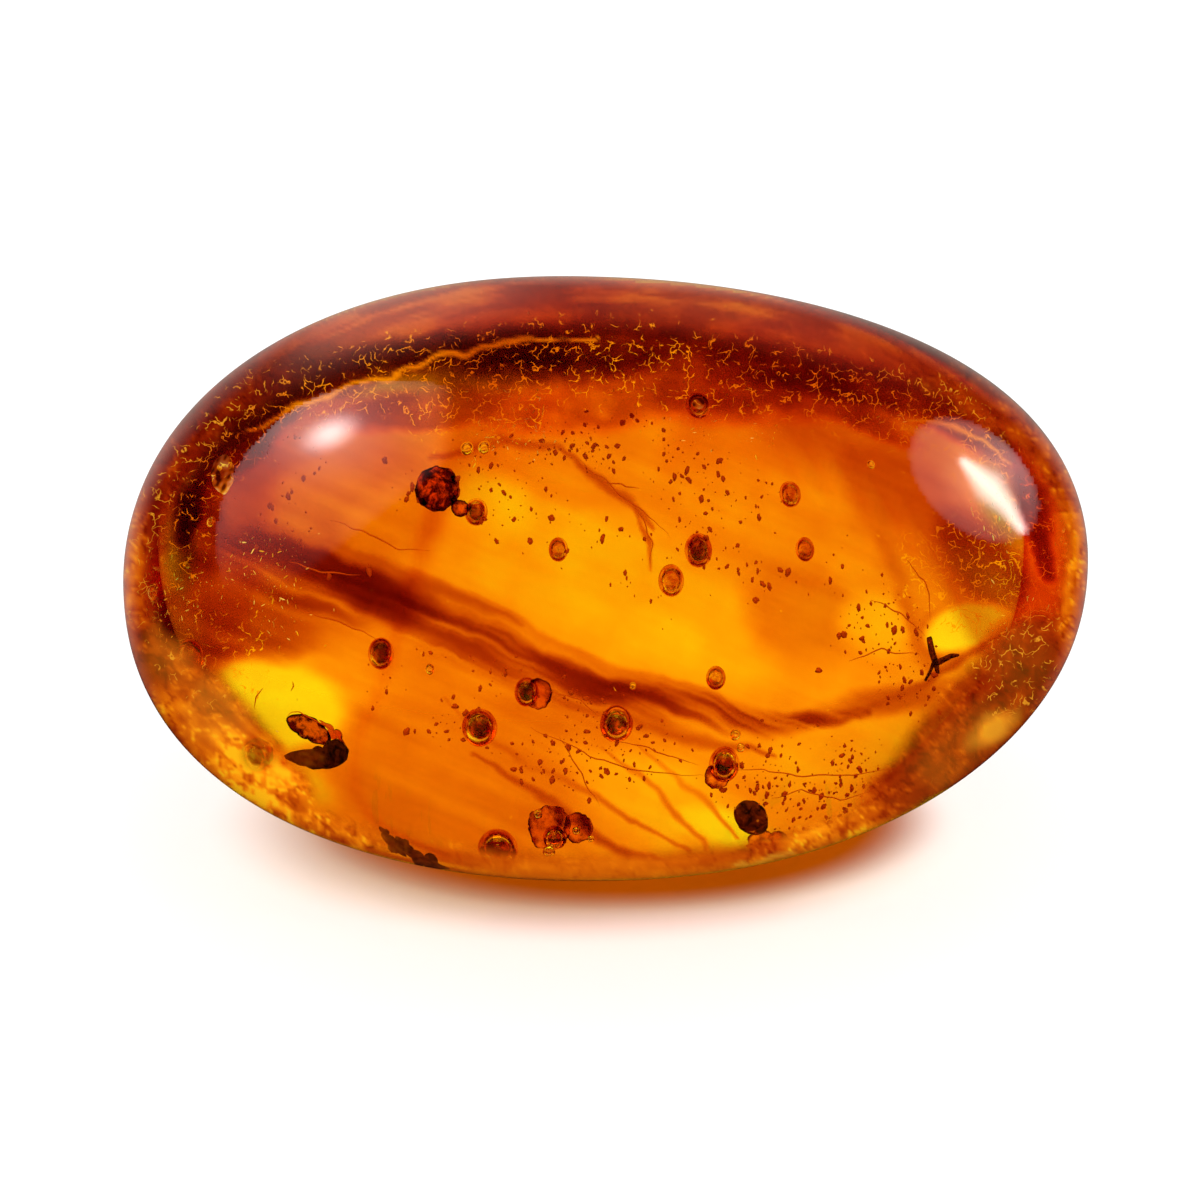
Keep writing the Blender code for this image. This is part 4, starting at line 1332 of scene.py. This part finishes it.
class OBJECT_OT_amber_debris(bpy.types.Operator):
    """Make the leaf sprig, the bark and the lumps of old resin"""

    bl_idname = "object.amber_debris"
    bl_label = "Debris"

    def execute(self, context):
        tones = context.scene.amber_debris
        leaf_skin = debris_material("leaf_skin", tones.leaf_deep, tones.leaf_pale, 0.4 * MM)
        for number, outline in enumerate(LEAF_OUTLINES):
            lobe = pillow(f"leaf_lobe_{number + 1}", outline, 0.16 * MM, 0.0, 0.16, 10 + number)
            stands_for = ("leaf_sprig",) if outline is LEAF_OUTLINES[-1] else ()
            finish_piece(lobe, leaf_skin, "dry_leaf", *stands_for)
        bark_skin = debris_material("bark_skin", tones.bark_deep, tones.bark_pale, 0.3 * MM)
        sliver = bmesh.new()
        for line in SLIVER_LINES:
            points = along(line, 14)
            wobble = 1.0 + 0.5 * (cloud(points[:, 0], points[:, 1], 5.0, 17, 2) - 0.5)
            radii = points[:, 2] * 0.045 * MM * wobble
            add_tube(sliver, layer_places(points[:, 0], points[:, 1]), radii, 8)
        finish_piece(plain_object("bark_fork", sliver), bark_skin, "bark", "bark_sliver")
        crumb_skin = debris_material("crumb_skin", tones.crumb_deep, tones.crumb_pale, 0.5 * MM, 0.70)
        crumb = pillow("bark_lump", CRUMB_OUTLINE, 0.8 * MM, 0.0, 0.10, 20)
        finish_piece(crumb, crumb_skin, "bark", "bark_crumb")
        tail_skin = stained_film("crumb_tail_skin", tones.tail_deep, tones.tail_thin, 0.5 * MM, 0.4)
        tail = pillow("bark_lump_tail", CRUMB_TAIL, 0.5 * MM, 0.0, 0.25, 21)
        finish_piece(tail, tail_skin, "bark")
        clot_skin = stained_film("clot_skin", tones.clot_deep, tones.clot_thin, 0.55 * MM, 0.18)
        clot = pillow("dark_clot", CLOT_OUTLINE, 1.1 * MM, 0.0, 0.16, 22)
        finish_piece(clot, clot_skin, "clot", "resin_clot")
        finish_piece(pillow("clot_neck", CLOT_NECK, 0.4 * MM, 0.0, 0.16, 23), clot_skin, "clot")
        lump_skin = stained_film("lump_skin", tones.lump_deep, tones.lump_thin, 0.8 * MM, 0.30)
        for number, outline in enumerate(LUMPS):
            lump = pillow(f"resin_lump_{number + 1}", outline, 0.55 * MM, 0.0, 0.16, 30 + number)
            finish_piece(lump, lump_skin, "clot")
        # Bubbles whose walls give out a painted glint
        glint = painted_glint_material()
        for number, outline in enumerate(PAINTED_GLINT_BUBBLES):
            name = f"bright_bubble_{number + 1}"
            bubble = pillow(name, outline, 0.25 * MM, 0.5 * MM, 0.04, 40 + number)
            finish_piece(bubble, glint, "clot")
        return {"FINISHED"}


def scatter_tree():
    """A node tree that strews small copies of one shape over a surface."""
    tree = bpy.data.node_groups.new("Strew", "GeometryNodeTree")
    face = tree.interface
    face.new_socket("Geometry", in_out="OUTPUT", socket_type="NodeSocketGeometry")
    face.new_socket("Surface", in_out="INPUT", socket_type="NodeSocketGeometry")
    face.new_socket("Shape", in_out="INPUT", socket_type="NodeSocketObject")
    face.new_socket("Density", in_out="INPUT", socket_type="NodeSocketFloat")
    face.new_socket("Smallest", in_out="INPUT", socket_type="NodeSocketFloat")
    face.new_socket("Largest", in_out="INPUT", socket_type="NodeSocketFloat")
    face.new_socket("Material", in_out="INPUT", socket_type="NodeSocketMaterial")
    face.new_socket("Seed", in_out="INPUT", socket_type="NodeSocketInt")
    nodes, links = tree.nodes, tree.links
    given = nodes.new("NodeGroupInput")
    result = nodes.new("NodeGroupOutput")
    thickly = nodes.new("GeometryNodeInputNamedAttribute")
    thickly.inputs["Name"].default_value = "thickly"
    share = nodes.new("ShaderNodeMath")
    share.operation = "MULTIPLY"
    links.new(thickly.outputs["Attribute"], share.inputs[0])
    links.new(given.outputs["Density"], share.inputs[1])
    strewn = nodes.new("GeometryNodeDistributePointsOnFaces")
    links.new(given.outputs["Surface"], strewn.inputs["Mesh"])
    links.new(share.outputs["Value"], strewn.inputs["Density"])
    links.new(given.outputs["Seed"], strewn.inputs["Seed"])
    shape = nodes.new("GeometryNodeObjectInfo")
    links.new(given.outputs["Shape"], shape.inputs["Object"])
    copies = nodes.new("GeometryNodeInstanceOnPoints")
    links.new(strewn.outputs["Points"], copies.inputs["Points"])
    links.new(shape.outputs["Geometry"], copies.inputs["Instance"])
    turn = nodes.new("FunctionNodeRandomValue")
    turn.data_type = "FLOAT_VECTOR"
    turn.inputs["Max"].default_value = (6.283, 6.283, 6.283)
    links.new(given.outputs["Seed"], turn.inputs["Seed"])
    links.new(turn.outputs["Value"], copies.inputs["Rotation"])
    chance = nodes.new("FunctionNodeRandomValue")
    chance.data_type = "FLOAT"
    links.new(given.outputs["Seed"], chance.inputs["Seed"])
    power = nodes.new("ShaderNodeMath")
    power.operation = "POWER"
    power.inputs[1].default_value = 3.0
    links.new(chance.outputs[1], power.inputs[0])
    size = nodes.new("ShaderNodeMapRange")
    links.new(power.outputs["Value"], size.inputs["Value"])
    links.new(given.outputs["Smallest"], size.inputs["To Min"])
    links.new(given.outputs["Largest"], size.inputs["To Max"])
    links.new(size.outputs["Result"], copies.inputs["Scale"])
    real = nodes.new("GeometryNodeRealizeInstances")
    links.new(copies.outputs["Instances"], real.inputs["Geometry"])
    dress = nodes.new("GeometryNodeSetMaterial")
    links.new(real.outputs["Geometry"], dress.inputs["Geometry"])
    links.new(given.outputs["Material"], dress.inputs["Material"])
    links.new(dress.outputs["Geometry"], result.inputs["Geometry"])
    return tree


def strew(name, thickly_at, surface, shape, material, density, sizes, seed):
    """Strew copies of a shape over a film inside the stone, as one plain mesh."""
    x, y = np.meshgrid(np.arange(130.0, 1086.0, 10.0), np.arange(280.0, 880.0, 10.0))
    entry, rays, normals = enter_stone(x, y)
    inward = bend_into_stone(rays, normals)
    places = entry + inward * surface(entry, inward)[..., None]
    places = np.where(np.isfinite(places), places, 1.0)
    keep = stone_form(places) < -0.03
    bed, used = grid_object(name + "_bed", places, np.stack((x, y), axis=-1), keep)
    paint(bed, "thickly", thickly_at(x, y), used)
    tree = bpy.data.node_groups.get("Strew") or scatter_tree()
    modifier = bed.modifiers.new("Strew", "NODES")
    modifier.node_group = tree
    values = {
        "Shape": shape,
        "Density": density,
        "Smallest": sizes[0],
        "Largest": sizes[1],
        "Material": material,
        "Seed": seed,
    }
    for item in tree.interface.items_tree:
        if item.in_out == "INPUT" and item.name in values:
            modifier[item.identifier] = values[item.name]
    evaluated = bed.evaluated_get(bpy.context.evaluated_depsgraph_get())
    mesh = bpy.data.meshes.new_from_object(evaluated)
    bpy.data.objects.remove(bed, do_unlink=True)
    bpy.data.objects.remove(shape, do_unlink=True)
    mesh.name = name
    thing = bpy.data.objects.new(name, mesh)
    bpy.context.collection.objects.link(thing)
    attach(thing, "root")


def flake_shape():
    """A small bent flake with pointed ends."""
    flake = bmesh.new()
    spine = ((-1.0, 0.0, 0.0), (-0.4, 0.24, 0.1), (0.45, 0.2, 0.22), (1.1, -0.1, 0.1))
    other = ((-0.35, -0.16, 0.05), (0.4, -0.22, 0.16))
    a, b, c, d = (flake.verts.new(point) for point in spine)
    e, f = (flake.verts.new(point) for point in other)
    flake.faces.new((a, e, b))
    flake.faces.new((b, e, f, c))
    flake.faces.new((c, f, d))
    return plain_object("flake_shape", flake, smooth=False)


def speck_shape():
    """A small rough grain."""
    grain_mesh = bmesh.new()
    bmesh.ops.create_icosphere(grain_mesh, subdivisions=2, radius=1.0)
    for number, vertex in enumerate(grain_mesh.verts):
        swell = 1.0 + 0.35 * math.sin(number * 2.4) * math.cos(number * 1.1)
        vertex.co = Vector((vertex.co.x * 1.3, vertex.co.y * 0.9, vertex.co.z * 0.7)) * swell
    return plain_object("speck_shape", grain_mesh)


def upper_edge_flakes(x, y):
    """How thickly flakes lie under the painted shade along the upper edge, and near the ends."""
    thick = 0.7 * streak(x, y, FLAKED_EDGE, 0.6)
    thick = lay(thick, spot(x, y, (500.0, 420.0), (130.0, 50.0), 0.0, 0.6), 1.6)
    thick = lay(thick, spot(x, y, (260.0, 560.0), (110.0, 120.0), 0.0, 0.6), 0.7)
    thick = lay(thick, spot(x, y, (220.0, 680.0), (90.0, 80.0), 0.0, 0.6), 0.8)
    return thick * ease(0.38, 0.62, cloud(x, y, 40.0, 51))


def layer_specks(x, y):
    """How thickly dark specks lie on the flow layer."""
    thick = 0.35 * spot(x, y, (640.0, 520.0), (240.0, 110.0), 10.0, 0.4)
    thick = thick + 0.8 * spot(x, y, (800.0, 780.0), (110.0, 60.0), -5.0, 0.5)
    thick = thick + 0.5 * spot(x, y, (540.0, 730.0), (230.0, 70.0), 15.0, 0.5)
    thick = thick + 0.35 * spot(x, y, (300.0, 500.0), (140.0, 100.0), 0.0, 0.5)
    thick = thick + 0.7 * spot(x, y, (640.0, 440.0), (120.0, 34.0), 0.0, 0.5)
    thick = thick + 0.5 * spot(x, y, (900.0, 650.0), (110.0, 80.0), 0.0, 0.5)
    return thick * ease(0.3, 0.65, cloud(x, y, 45.0, 61))


class AmberGrainsSettings(bpy.types.PropertyGroup):
    """The golden flakes and the dark specks"""

    flake_colour: colour_setting("Flakes", "The golden flakes' colour", (1.0, 0.60, 0.12))
    speck_colour: colour_setting("Specks", "The dark specks' colour", (0.50, 0.055, 0.008))
    flake_smallest: length_setting("Smallest flake", "Half the smallest flake's length", 0.035 * MM)
    flake_largest: length_setting("Largest flake", "Half the largest flake's length", 0.20 * MM)
    deep_flake_largest: length_setting("Largest deep flake", "The same, on the flow layer", 0.18 * MM)
    speck_smallest: length_setting("Smallest speck", "The smallest speck's radius", 0.03 * MM)
    speck_largest: length_setting("Largest speck", "The largest speck's radius", 0.17 * MM)


class OBJECT_OT_amber_grains(bpy.types.Operator):
    """Strew the golden flakes and the dark specks"""

    bl_idname = "object.amber_grains"
    bl_label = "Flakes and Specks"

    def execute(self, context):
        grains = context.scene.amber_grains
        gold = plain_skin("gold_flake_skin", grains.flake_colour, 0.35, 1.0)
        high = (grains.flake_smallest, grains.flake_largest)
        deep = (grains.flake_smallest, grains.deep_flake_largest)
        specks = (grains.speck_smallest, grains.speck_largest)
        shell, layer = meet_shell(FLAKE_SHELL), meet_layer(FLAKE_LIFT)
        strew("gold_flakes_high", upper_edge_flakes, shell, flake_shape(), gold, 9.0e6, high, 3)
        strew("gold_flakes_deep", upper_edge_flakes, layer, flake_shape(), gold, 7.0e6, deep, 4)
        layer = meet_layer(SPECK_LIFT)
        dark = plain_skin("speck_skin", grains.speck_colour)
        strew("dark_specks", layer_specks, layer, speck_shape(), dark, 1.15e7, specks, 5)
        return {"FINISHED"}


# Fine hairs and threads: pixels of the photograph
HAIRS = (
    ((262.0, 689.0), (256.0, 697.0), (255.0, 709.0)),
    ((291.0, 683.0), (292.0, 688.0), (290.0, 692.0)),
    ((236.0, 702.0), (240.0, 711.0), (245.0, 719.0)),
    ((286.0, 718.0), (290.0, 713.0), (299.0, 712.0), (305.0, 716.0), (318.0, 720.0), (332.0, 730.0),
     (342.0, 741.0)),
    ((580.0, 459.0), (604.0, 480.0), (633.0, 505.0), (655.0, 524.0), (670.0, 538.0)),
    ((633.0, 505.0), (645.0, 520.0), (652.0, 545.0), (648.0, 566.0)),
    ((604.0, 480.0), (625.0, 487.0), (640.0, 489.0)),
    ((530.0, 727.0), (560.0, 742.0), (592.0, 757.0), (640.0, 770.0), (706.0, 776.0)),
    ((613.0, 742.0), (650.0, 748.0), (700.0, 765.0)),
    ((552.0, 690.0), (580.0, 700.0), (598.0, 716.0)),
    ((560.0, 735.0), (575.0, 760.0), (590.0, 790.0), (600.0, 806.0)),
    ((728.0, 772.0), (760.0, 770.0), (800.0, 776.0), (850.0, 776.0), (900.0, 768.0)),
    ((770.0, 800.0), (800.0, 790.0), (840.0, 800.0), (880.0, 790.0)),
    ((330.0, 520.0), (360.0, 530.0), (400.0, 548.0), (430.0, 552.0)),
    ((290.0, 560.0), (320.0, 572.0), (360.0, 575.0)),
    ((300.0, 610.0), (340.0, 622.0), (382.0, 640.0)),
    ((870.0, 600.0), (900.0, 612.0), (925.0, 636.0)),
    ((850.0, 660.0), (880.0, 650.0), (920.0, 654.0)),
    ((905.0, 560.0), (925.0, 580.0), (930.0, 620.0)),
)

# Bubbles with a stained lining: sideways, upwards, radius
LINED = (
    (-7.0 * MM, -7.2 * MM, 0.90 * MM),
    (-4.5 * MM, -5.6 * MM, 0.62 * MM),
    (0.4 * MM, -7.1 * MM, 0.88 * MM),
    (-18.8 * MM, -8.4 * MM, 0.66 * MM),
    (-6.1 * MM, -12.7 * MM, 1.05 * MM),
    (-12.1 * MM, -3.9 * MM, 0.64 * MM),
    (6.3 * MM, -9.0 * MM, 0.80 * MM),
    (-7.2 * MM, 2.0 * MM, 0.58 * MM),
    (4.9 * MM, 0.4 * MM, 0.72 * MM),
)


class AmberLiningsSettings(bpy.types.PropertyGroup):
    """The films in and round the bubbles"""

    lining_deep: colour_setting("Lining, deep", "Its darker mottles", (0.36, 0.06, 0.010))
    lining_thin: colour_setting("Lining, thin", "Its paler mottles", (0.93, 0.60, 0.20))
    film_deep: colour_setting("Film round all, deep", "Its darker mottles", (0.76, 0.40, 0.13))
    film_thin: colour_setting("Film round all, thin", "Its paler mottles", (0.99, 0.88, 0.62))


class OBJECT_OT_amber_linings(bpy.types.Operator):
    """Line the darker bubbles with a brown film and put a thin one round all"""

    bl_idname = "object.amber_linings"
    bl_label = "Bubble Films"

    def execute(self, context):
        tones = context.scene.amber_linings
        for name, bubbles, share, dark, light in (
            ("bubble_linings", LINED, 0.985, tones.lining_deep, tones.lining_thin),
            ("bubble_films", BUBBLES, 1.05, tones.film_deep, tones.film_thin),
        ):
            balls = bmesh.new()
            for sideways, upwards, radius in bubbles:
                made = bmesh.ops.create_icosphere(balls, subdivisions=4, radius=radius * share)
                bmesh.ops.translate(balls, verts=made["verts"], vec=on_layer(sideways, upwards))
            film = stained_film(name, dark, light, 0.9 * MM)
            finish_piece(plain_object(name, balls), film, "clot")
        return {"FINISHED"}


class AmberHairsSettings(bpy.types.PropertyGroup):
    """The hairs and threads"""

    hair_colour: colour_setting("Hairs", "The hairs' colour", (0.60, 0.08, 0.010))


class OBJECT_OT_amber_hairs(bpy.types.Operator):
    """Make the fine hairs and threads"""

    bl_idname = "object.amber_hairs"
    bl_label = "Hairs"

    def execute(self, context):
        hairs = bmesh.new()
        for number, line in enumerate(HAIRS):
            points = along(line, 26)
            shake = 5.0 * (cloud(points[:, 0], points[:, 1], 16.0, 71 + number, 2) - 0.5)
            places = layer_places(points[:, 0] + shake, points[:, 1] - shake, HAIR_LIFT)
            fade = np.sin(np.linspace(0.25, math.pi - 0.12, len(points)))
            add_tube(hairs, places, HAIR_RADIUS * fade, 5)
        skin = plain_skin("hair_skin", context.scene.amber_hairs.hair_colour)
        finish_piece(plain_object("hairs", hairs), skin, "bark")
        return {"FINISHED"}


def add_floor(settings):
    """A plain pale floor with a painted shadow and a painted pool of amber light close to where the stone
    rests.
    """
    floor = bmesh.new()
    bmesh.ops.create_grid(floor, x_segments=1, y_segments=1, size=FLOOR_HALF_SIZE)
    for vertex in floor.verts:
        vertex.co.z = -FLOOR_DROP
    plane = plain_object("floor", floor, smooth=False)
    material, nodes, links = new_material("pale_floor_painted_shadow")
    shader = nodes["Principled BSDF"]
    shader.inputs["Roughness"].default_value = 0.8
    shader.inputs["Specular IOR Level"].default_value = 0.0
    place = nodes.new("ShaderNodeTexCoord")
    colour = None
    # Painted shadow: a wide brownish shade, and a deep amber core that stands for light through the stone
    for field, half_length, half_width, shift, full_from in PAINTED_SHADOW_OVALS:
        oval = nodes.new("ShaderNodeVectorMath")
        oval.operation = "MULTIPLY_ADD"
        oval.inputs[1].default_value = (1.0 / half_length, 1.0 / half_width, 0.0)
        oval.inputs[2].default_value = (shift, 0.0, 0.0)
        links.new(place.outputs["Object"], oval.inputs[0])
        far = nodes.new("ShaderNodeVectorMath")
        far.operation = "LENGTH"
        links.new(oval.outputs["Vector"], far.inputs[0])
        inside = nodes.new("ShaderNodeMapRange")
        inside.interpolation_type = "SMOOTHSTEP"
        inside.inputs["From Min"].default_value = 1.0
        inside.inputs["From Max"].default_value = full_from
        links.new(far.outputs["Value"], inside.inputs["Value"])
        mix = nodes.new("ShaderNodeMix")
        mix.data_type = "RGBA"
        mix.inputs["A"].default_value = (*settings.floor_colour, 1.0)
        mix.inputs["B"].default_value = (*getattr(settings, field), 1.0)
        links.new(inside.outputs["Result"], mix.inputs["Factor"])
        if colour:
            links.new(colour, mix.inputs["A"])
        colour = mix.outputs["Result"]
    links.new(colour, shader.inputs["Base Color"])
    plane.data.materials.append(material)
    plane.visible_glossy = False


def add_overhead_light(settings):
    """A wide round light overhead that lights the floor evenly."""
    lamp = bpy.data.lights.new("overhead_light", "SUN")
    lamp.angle = settings.overhead_angle
    lamp.energy = settings.overhead_strength
    holder = bpy.data.objects.new("overhead_light", lamp)
    bpy.context.collection.objects.link(holder)
    holder.rotation_euler = (math.radians(-4.0), 0.0, 0.0)
    holder.visible_glossy = False


def add_world(settings):
    """White for the camera, softer light for the floor, dark to the polish's mirror."""
    world = bpy.data.worlds.new("studio")
    world.use_nodes = True
    tree = world.node_tree
    nodes, links = tree.nodes, tree.links
    path = nodes.new("ShaderNodeLightPath")
    seen = nodes["Background"]
    seen.inputs["Color"].default_value = (1.0, 1.0, 1.0, 1.0)
    seen.inputs["Strength"].default_value = 1.0
    ambient = nodes.new("ShaderNodeBackground")
    ambient.inputs["Color"].default_value = (1.0, 1.0, 1.0, 1.0)
    ambient.inputs["Strength"].default_value = settings.ambient_strength
    through = nodes.new("ShaderNodeBackground")
    through.inputs["Color"].default_value = (1.0, 1.0, 1.0, 1.0)
    through.inputs["Strength"].default_value = settings.through_strength
    mirrored = nodes.new("ShaderNodeBackground")
    mirrored.inputs["Strength"].default_value = settings.mirrored_strength
    for first, second, ray in (
        (seen, ambient, "Is Diffuse Ray"),
        (None, through, "Is Transmission Ray"),
        (None, mirrored, None),
    ):
        choose = nodes.new("ShaderNodeMixShader")
        source = first.outputs["Background"] if first else last.outputs["Shader"]
        links.new(source, choose.inputs[1])
        links.new(second.outputs["Background"], choose.inputs[2])
        if ray:
            links.new(path.outputs[ray], choose.inputs["Fac"])
        else:
            polished = nodes.new("ShaderNodeMath")
            polished.operation = "MULTIPLY"
            links.new(path.outputs["Is Reflection Ray"], polished.inputs[0])
            links.new(path.outputs["Is Glossy Ray"], polished.inputs[1])
            links.new(polished.outputs["Value"], choose.inputs["Fac"])
        last = choose
    links.new(last.outputs["Shader"], nodes["World Output"].inputs["Surface"])
    world.cycles.sampling_method = "NONE"
    bpy.context.scene.world = world


def add_board(name, corners, glow, colour, distance):
    """A soft panel, put where the polish mirrors it in one part of the photograph."""
    low, high = corners
    across = np.arange(low[0], high[0] + BOARD_STEP, BOARD_STEP)
    down = np.arange(low[1], high[1] + BOARD_STEP, BOARD_STEP)
    x, y, keep = reach_outline(*np.meshgrid(across, down))
    entry, rays, normals = enter_stone(x, y)
    mirrored = rays - 2.0 * (rays * normals).sum(axis=-1, keepdims=True) * normals
    facing = -(rays * normals).sum(axis=-1)
    brightness = glow(x, y, facing)
    keep &= np.isfinite(entry).all(axis=-1) & (brightness > 0.0)
    places = np.nan_to_num(entry + mirrored * distance)
    board, used = grid_object(name, places, np.stack((x, y), axis=-1), keep)
    paint(board, "glow", brightness, used)
    material, nodes, links = new_material(name, bare=True)
    light = nodes.new("ShaderNodeEmission")
    light.inputs["Color"].default_value = (*colour, 1.0)
    level = nodes.new("ShaderNodeAttribute")
    level.attribute_name = "glow"
    links.new(level.outputs["Fac"], light.inputs["Strength"])
    links.new(light.outputs["Emission"], nodes["Material Output"].inputs["Surface"])
    material.cycles.emission_sampling = "NONE"
    board.data.materials.append(material)
    board.visible_camera = False
    board.visible_diffuse = False
    board.visible_transmission = False
    board.visible_shadow = False


def left_glow(x, y, facing):
    """The left window's brightness: a rounded upper edge, and a hot middle."""
    oval = np.sqrt(((x - 397.0) / 184.0) ** 2 + ((y - 543.0) / 166.0) ** 2)
    inside = ease(1.0, 0.97, oval)
    slant = (x - 450.0) * 0.62 + (y - 455.0) * 0.78
    inside = inside * ease(8.0, -6.0, slant) * ease(600.0, 520.0, y) * ease(458.0, 425.0, x)
    haze = 0.35 + 0.55 * ease(-10.0, -150.0, slant)
    hot = HOT_GLOW * spot(x, y, (330.0, 434.0), (46.0, 24.0), -24.0, 1.0) ** 1.5
    halo = 1.9 * np.exp(-(((x - 322.0) / 58.0) ** 2 + ((y - 436.0) / 36.0) ** 2))
    return inside * (haze + hot + halo)


def right_glow(x, y, facing):
    """The right window's brightness, with a hot strip that follows its edge."""
    inside = spot(x, y, (974.0, 480.0), (80.0, 52.0), 42.0, 0.16)
    line = ((964.0, 462.0, 8.0), (989.0, 487.0, 22.0), (1006.0, 506.0, 15.0), (1022.0, 530.0, 8.0))
    hot = HOT_GLOW * streak(x, y, line, 1.0)
    halo = 2.0 * np.exp(-(((x - 990.0) / 34.0) ** 2 + ((y - 478.0) / 30.0) ** 2))
    return inside * (0.9 + hot + halo)


def back_glow(x, y, facing):
    """The backdrop's brightness in the upper edge and along the ends of the stone."""
    rise = ease(340.0, 292.0, y - 0.00075 * (x - 590.0) ** 2)
    upper = rise * (0.12 + 0.32 * spot(x, y, (390.0, 318.0), (200.0, 80.0), -14.0, 0.9))
    upper = upper * ease(230.0, 330.0, x) * ease(980.0, 720.0, x)
    rims = 0.34 * ease(0.34, 0.10, facing) * ease(730.0, 560.0, y)
    return np.maximum(upper, rims)


def add_camera():
    """The camera at the photograph's angle."""
    camera = bpy.data.cameras.new("camera")
    camera.lens = LENS_MM
    camera.sensor_width = SENSOR_MM
    camera.clip_start = 0.01
    holder = bpy.data.objects.new("camera", camera)
    bpy.context.collection.objects.link(holder)
    away = Vector((0.0, -math.cos(CAMERA_ELEVATION), math.sin(CAMERA_ELEVATION)))
    holder.location = CAMERA_TARGET + away * CAMERA_DISTANCE
    holder.rotation_euler = (math.radians(90.0) - CAMERA_ELEVATION, 0.0, 0.0)
    bpy.context.scene.camera = holder


class AmberStageSettings(bpy.types.PropertyGroup):
    """The floor and the light"""

    floor_colour: colour_setting("Floor", "The plain floor's colour", (0.92, 0.92, 0.92))
    # The painted shadow on the floor: its wide brownish shade and its deep amber core
    painted_shadow_halo: colour_setting("Glow on the floor", "The wide tone round the stone", (0.41, 0.28, 0.21))
    painted_shadow_core: colour_setting("Core of the glow", "The deep tone under it", (0.31, 0.07, 0.0004))
    overhead_strength: FloatProperty(
        name="Overhead light", description="How strong the overhead light is", min=0.0, default=1.35
    )
    overhead_angle: FloatProperty(
        name="Overhead width",
        description="How wide the overhead light is in the sky",
        subtype="ANGLE",
        unit="ROTATION",
        default=math.radians(46.0),
    )
    ambient_strength: FloatProperty(
        name="Floor's surroundings", description="Their brightness to the floor", min=0.0, default=0.92
    )
    through_strength: FloatProperty(
        name="Seen through", description="Their brightness through the amber", min=0.0, default=1.22
    )
    mirrored_strength: FloatProperty(
        name="Mirrored", description="Their brightness in the polish", min=0.0, default=0.004
    )


class OBJECT_OT_amber_stage(bpy.types.Operator):
    """Make the floor, the soft lights and the camera"""

    bl_idname = "object.amber_stage"
    bl_label = "Stage"

    def execute(self, context):
        settings = context.scene.amber_stage
        add_floor(settings)
        add_world(settings)
        add_board("left_window", LEFT_WINDOW, left_glow, WINDOW_COLOUR, WINDOW_DISTANCE)
        add_board("right_window", RIGHT_WINDOW, right_glow, WINDOW_COLOUR, WINDOW_DISTANCE)
        add_board("backdrop", BACKDROP, back_glow, BACKDROP_COLOUR, BACKDROP_DISTANCE)
        add_overhead_light(settings)
        add_camera()
        scene = context.scene
        scene.view_settings.view_transform = "Standard"
        scene.cycles.max_bounces = 14
        scene.cycles.transmission_bounces = 12
        scene.cycles.glossy_bounces = 10
        scene.cycles.diffuse_bounces = 2
        scene.cycles.transparent_max_bounces = 32
        return {"FINISHED"}


class VIEW3D_PT_amber(bpy.types.Panel):
    """The pieces of the amber pebble"""

    bl_label = "Amber Pebble"
    bl_space_type = "VIEW_3D"
    bl_region_type = "UI"
    bl_category = "Amber"

    def draw(self, context):
        column = self.layout.column()
        for name in PIECES:
            column.operator("object." + name)
        for name, group in SETTINGS:
            box = self.layout.box()
            box.label(text=group.__doc__)
            for field in group.__annotations__:
                box.prop(getattr(context.scene, name), field)


PIECES = (
    "amber_stone",
    "amber_veils",
    "amber_husk",
    "amber_debris",
    "amber_grains",
    "amber_hairs",
    "amber_linings",
    "amber_stage",
)

SETTINGS = (
    ("amber_stone", AmberStoneSettings),
    ("amber_veils", AmberVeilsSettings),
    ("amber_husk", AmberHuskSettings),
    ("amber_debris", AmberDebrisSettings),
    ("amber_grains", AmberGrainsSettings),
    ("amber_hairs", AmberHairsSettings),
    ("amber_linings", AmberLiningsSettings),
    ("amber_stage", AmberStageSettings),
)

CLASSES = (
    *(group for name, group in SETTINGS),
    OBJECT_OT_amber_stone,
    OBJECT_OT_amber_veils,
    OBJECT_OT_amber_husk,
    OBJECT_OT_amber_debris,
    OBJECT_OT_amber_grains,
    OBJECT_OT_amber_hairs,
    OBJECT_OT_amber_linings,
    OBJECT_OT_amber_stage,
    VIEW3D_PT_amber,
)


def register():
    """Tell Blender of the classes, and give the scene its settings."""
    for cls in CLASSES:
        bpy.utils.register_class(cls)
    for name, group in SETTINGS:
        setattr(bpy.types.Scene, name, PointerProperty(type=group))


def unregister():
    """Take the settings and the classes out again."""
    for name, group in SETTINGS:
        delattr(bpy.types.Scene, name)
    for cls in reversed(CLASSES):
        bpy.utils.unregister_class(cls)


def main():
    """Make every piece in order."""
    register()
    for name in PIECES:
        getattr(bpy.ops.object, name)()


if __name__ == "__main__":
    main()
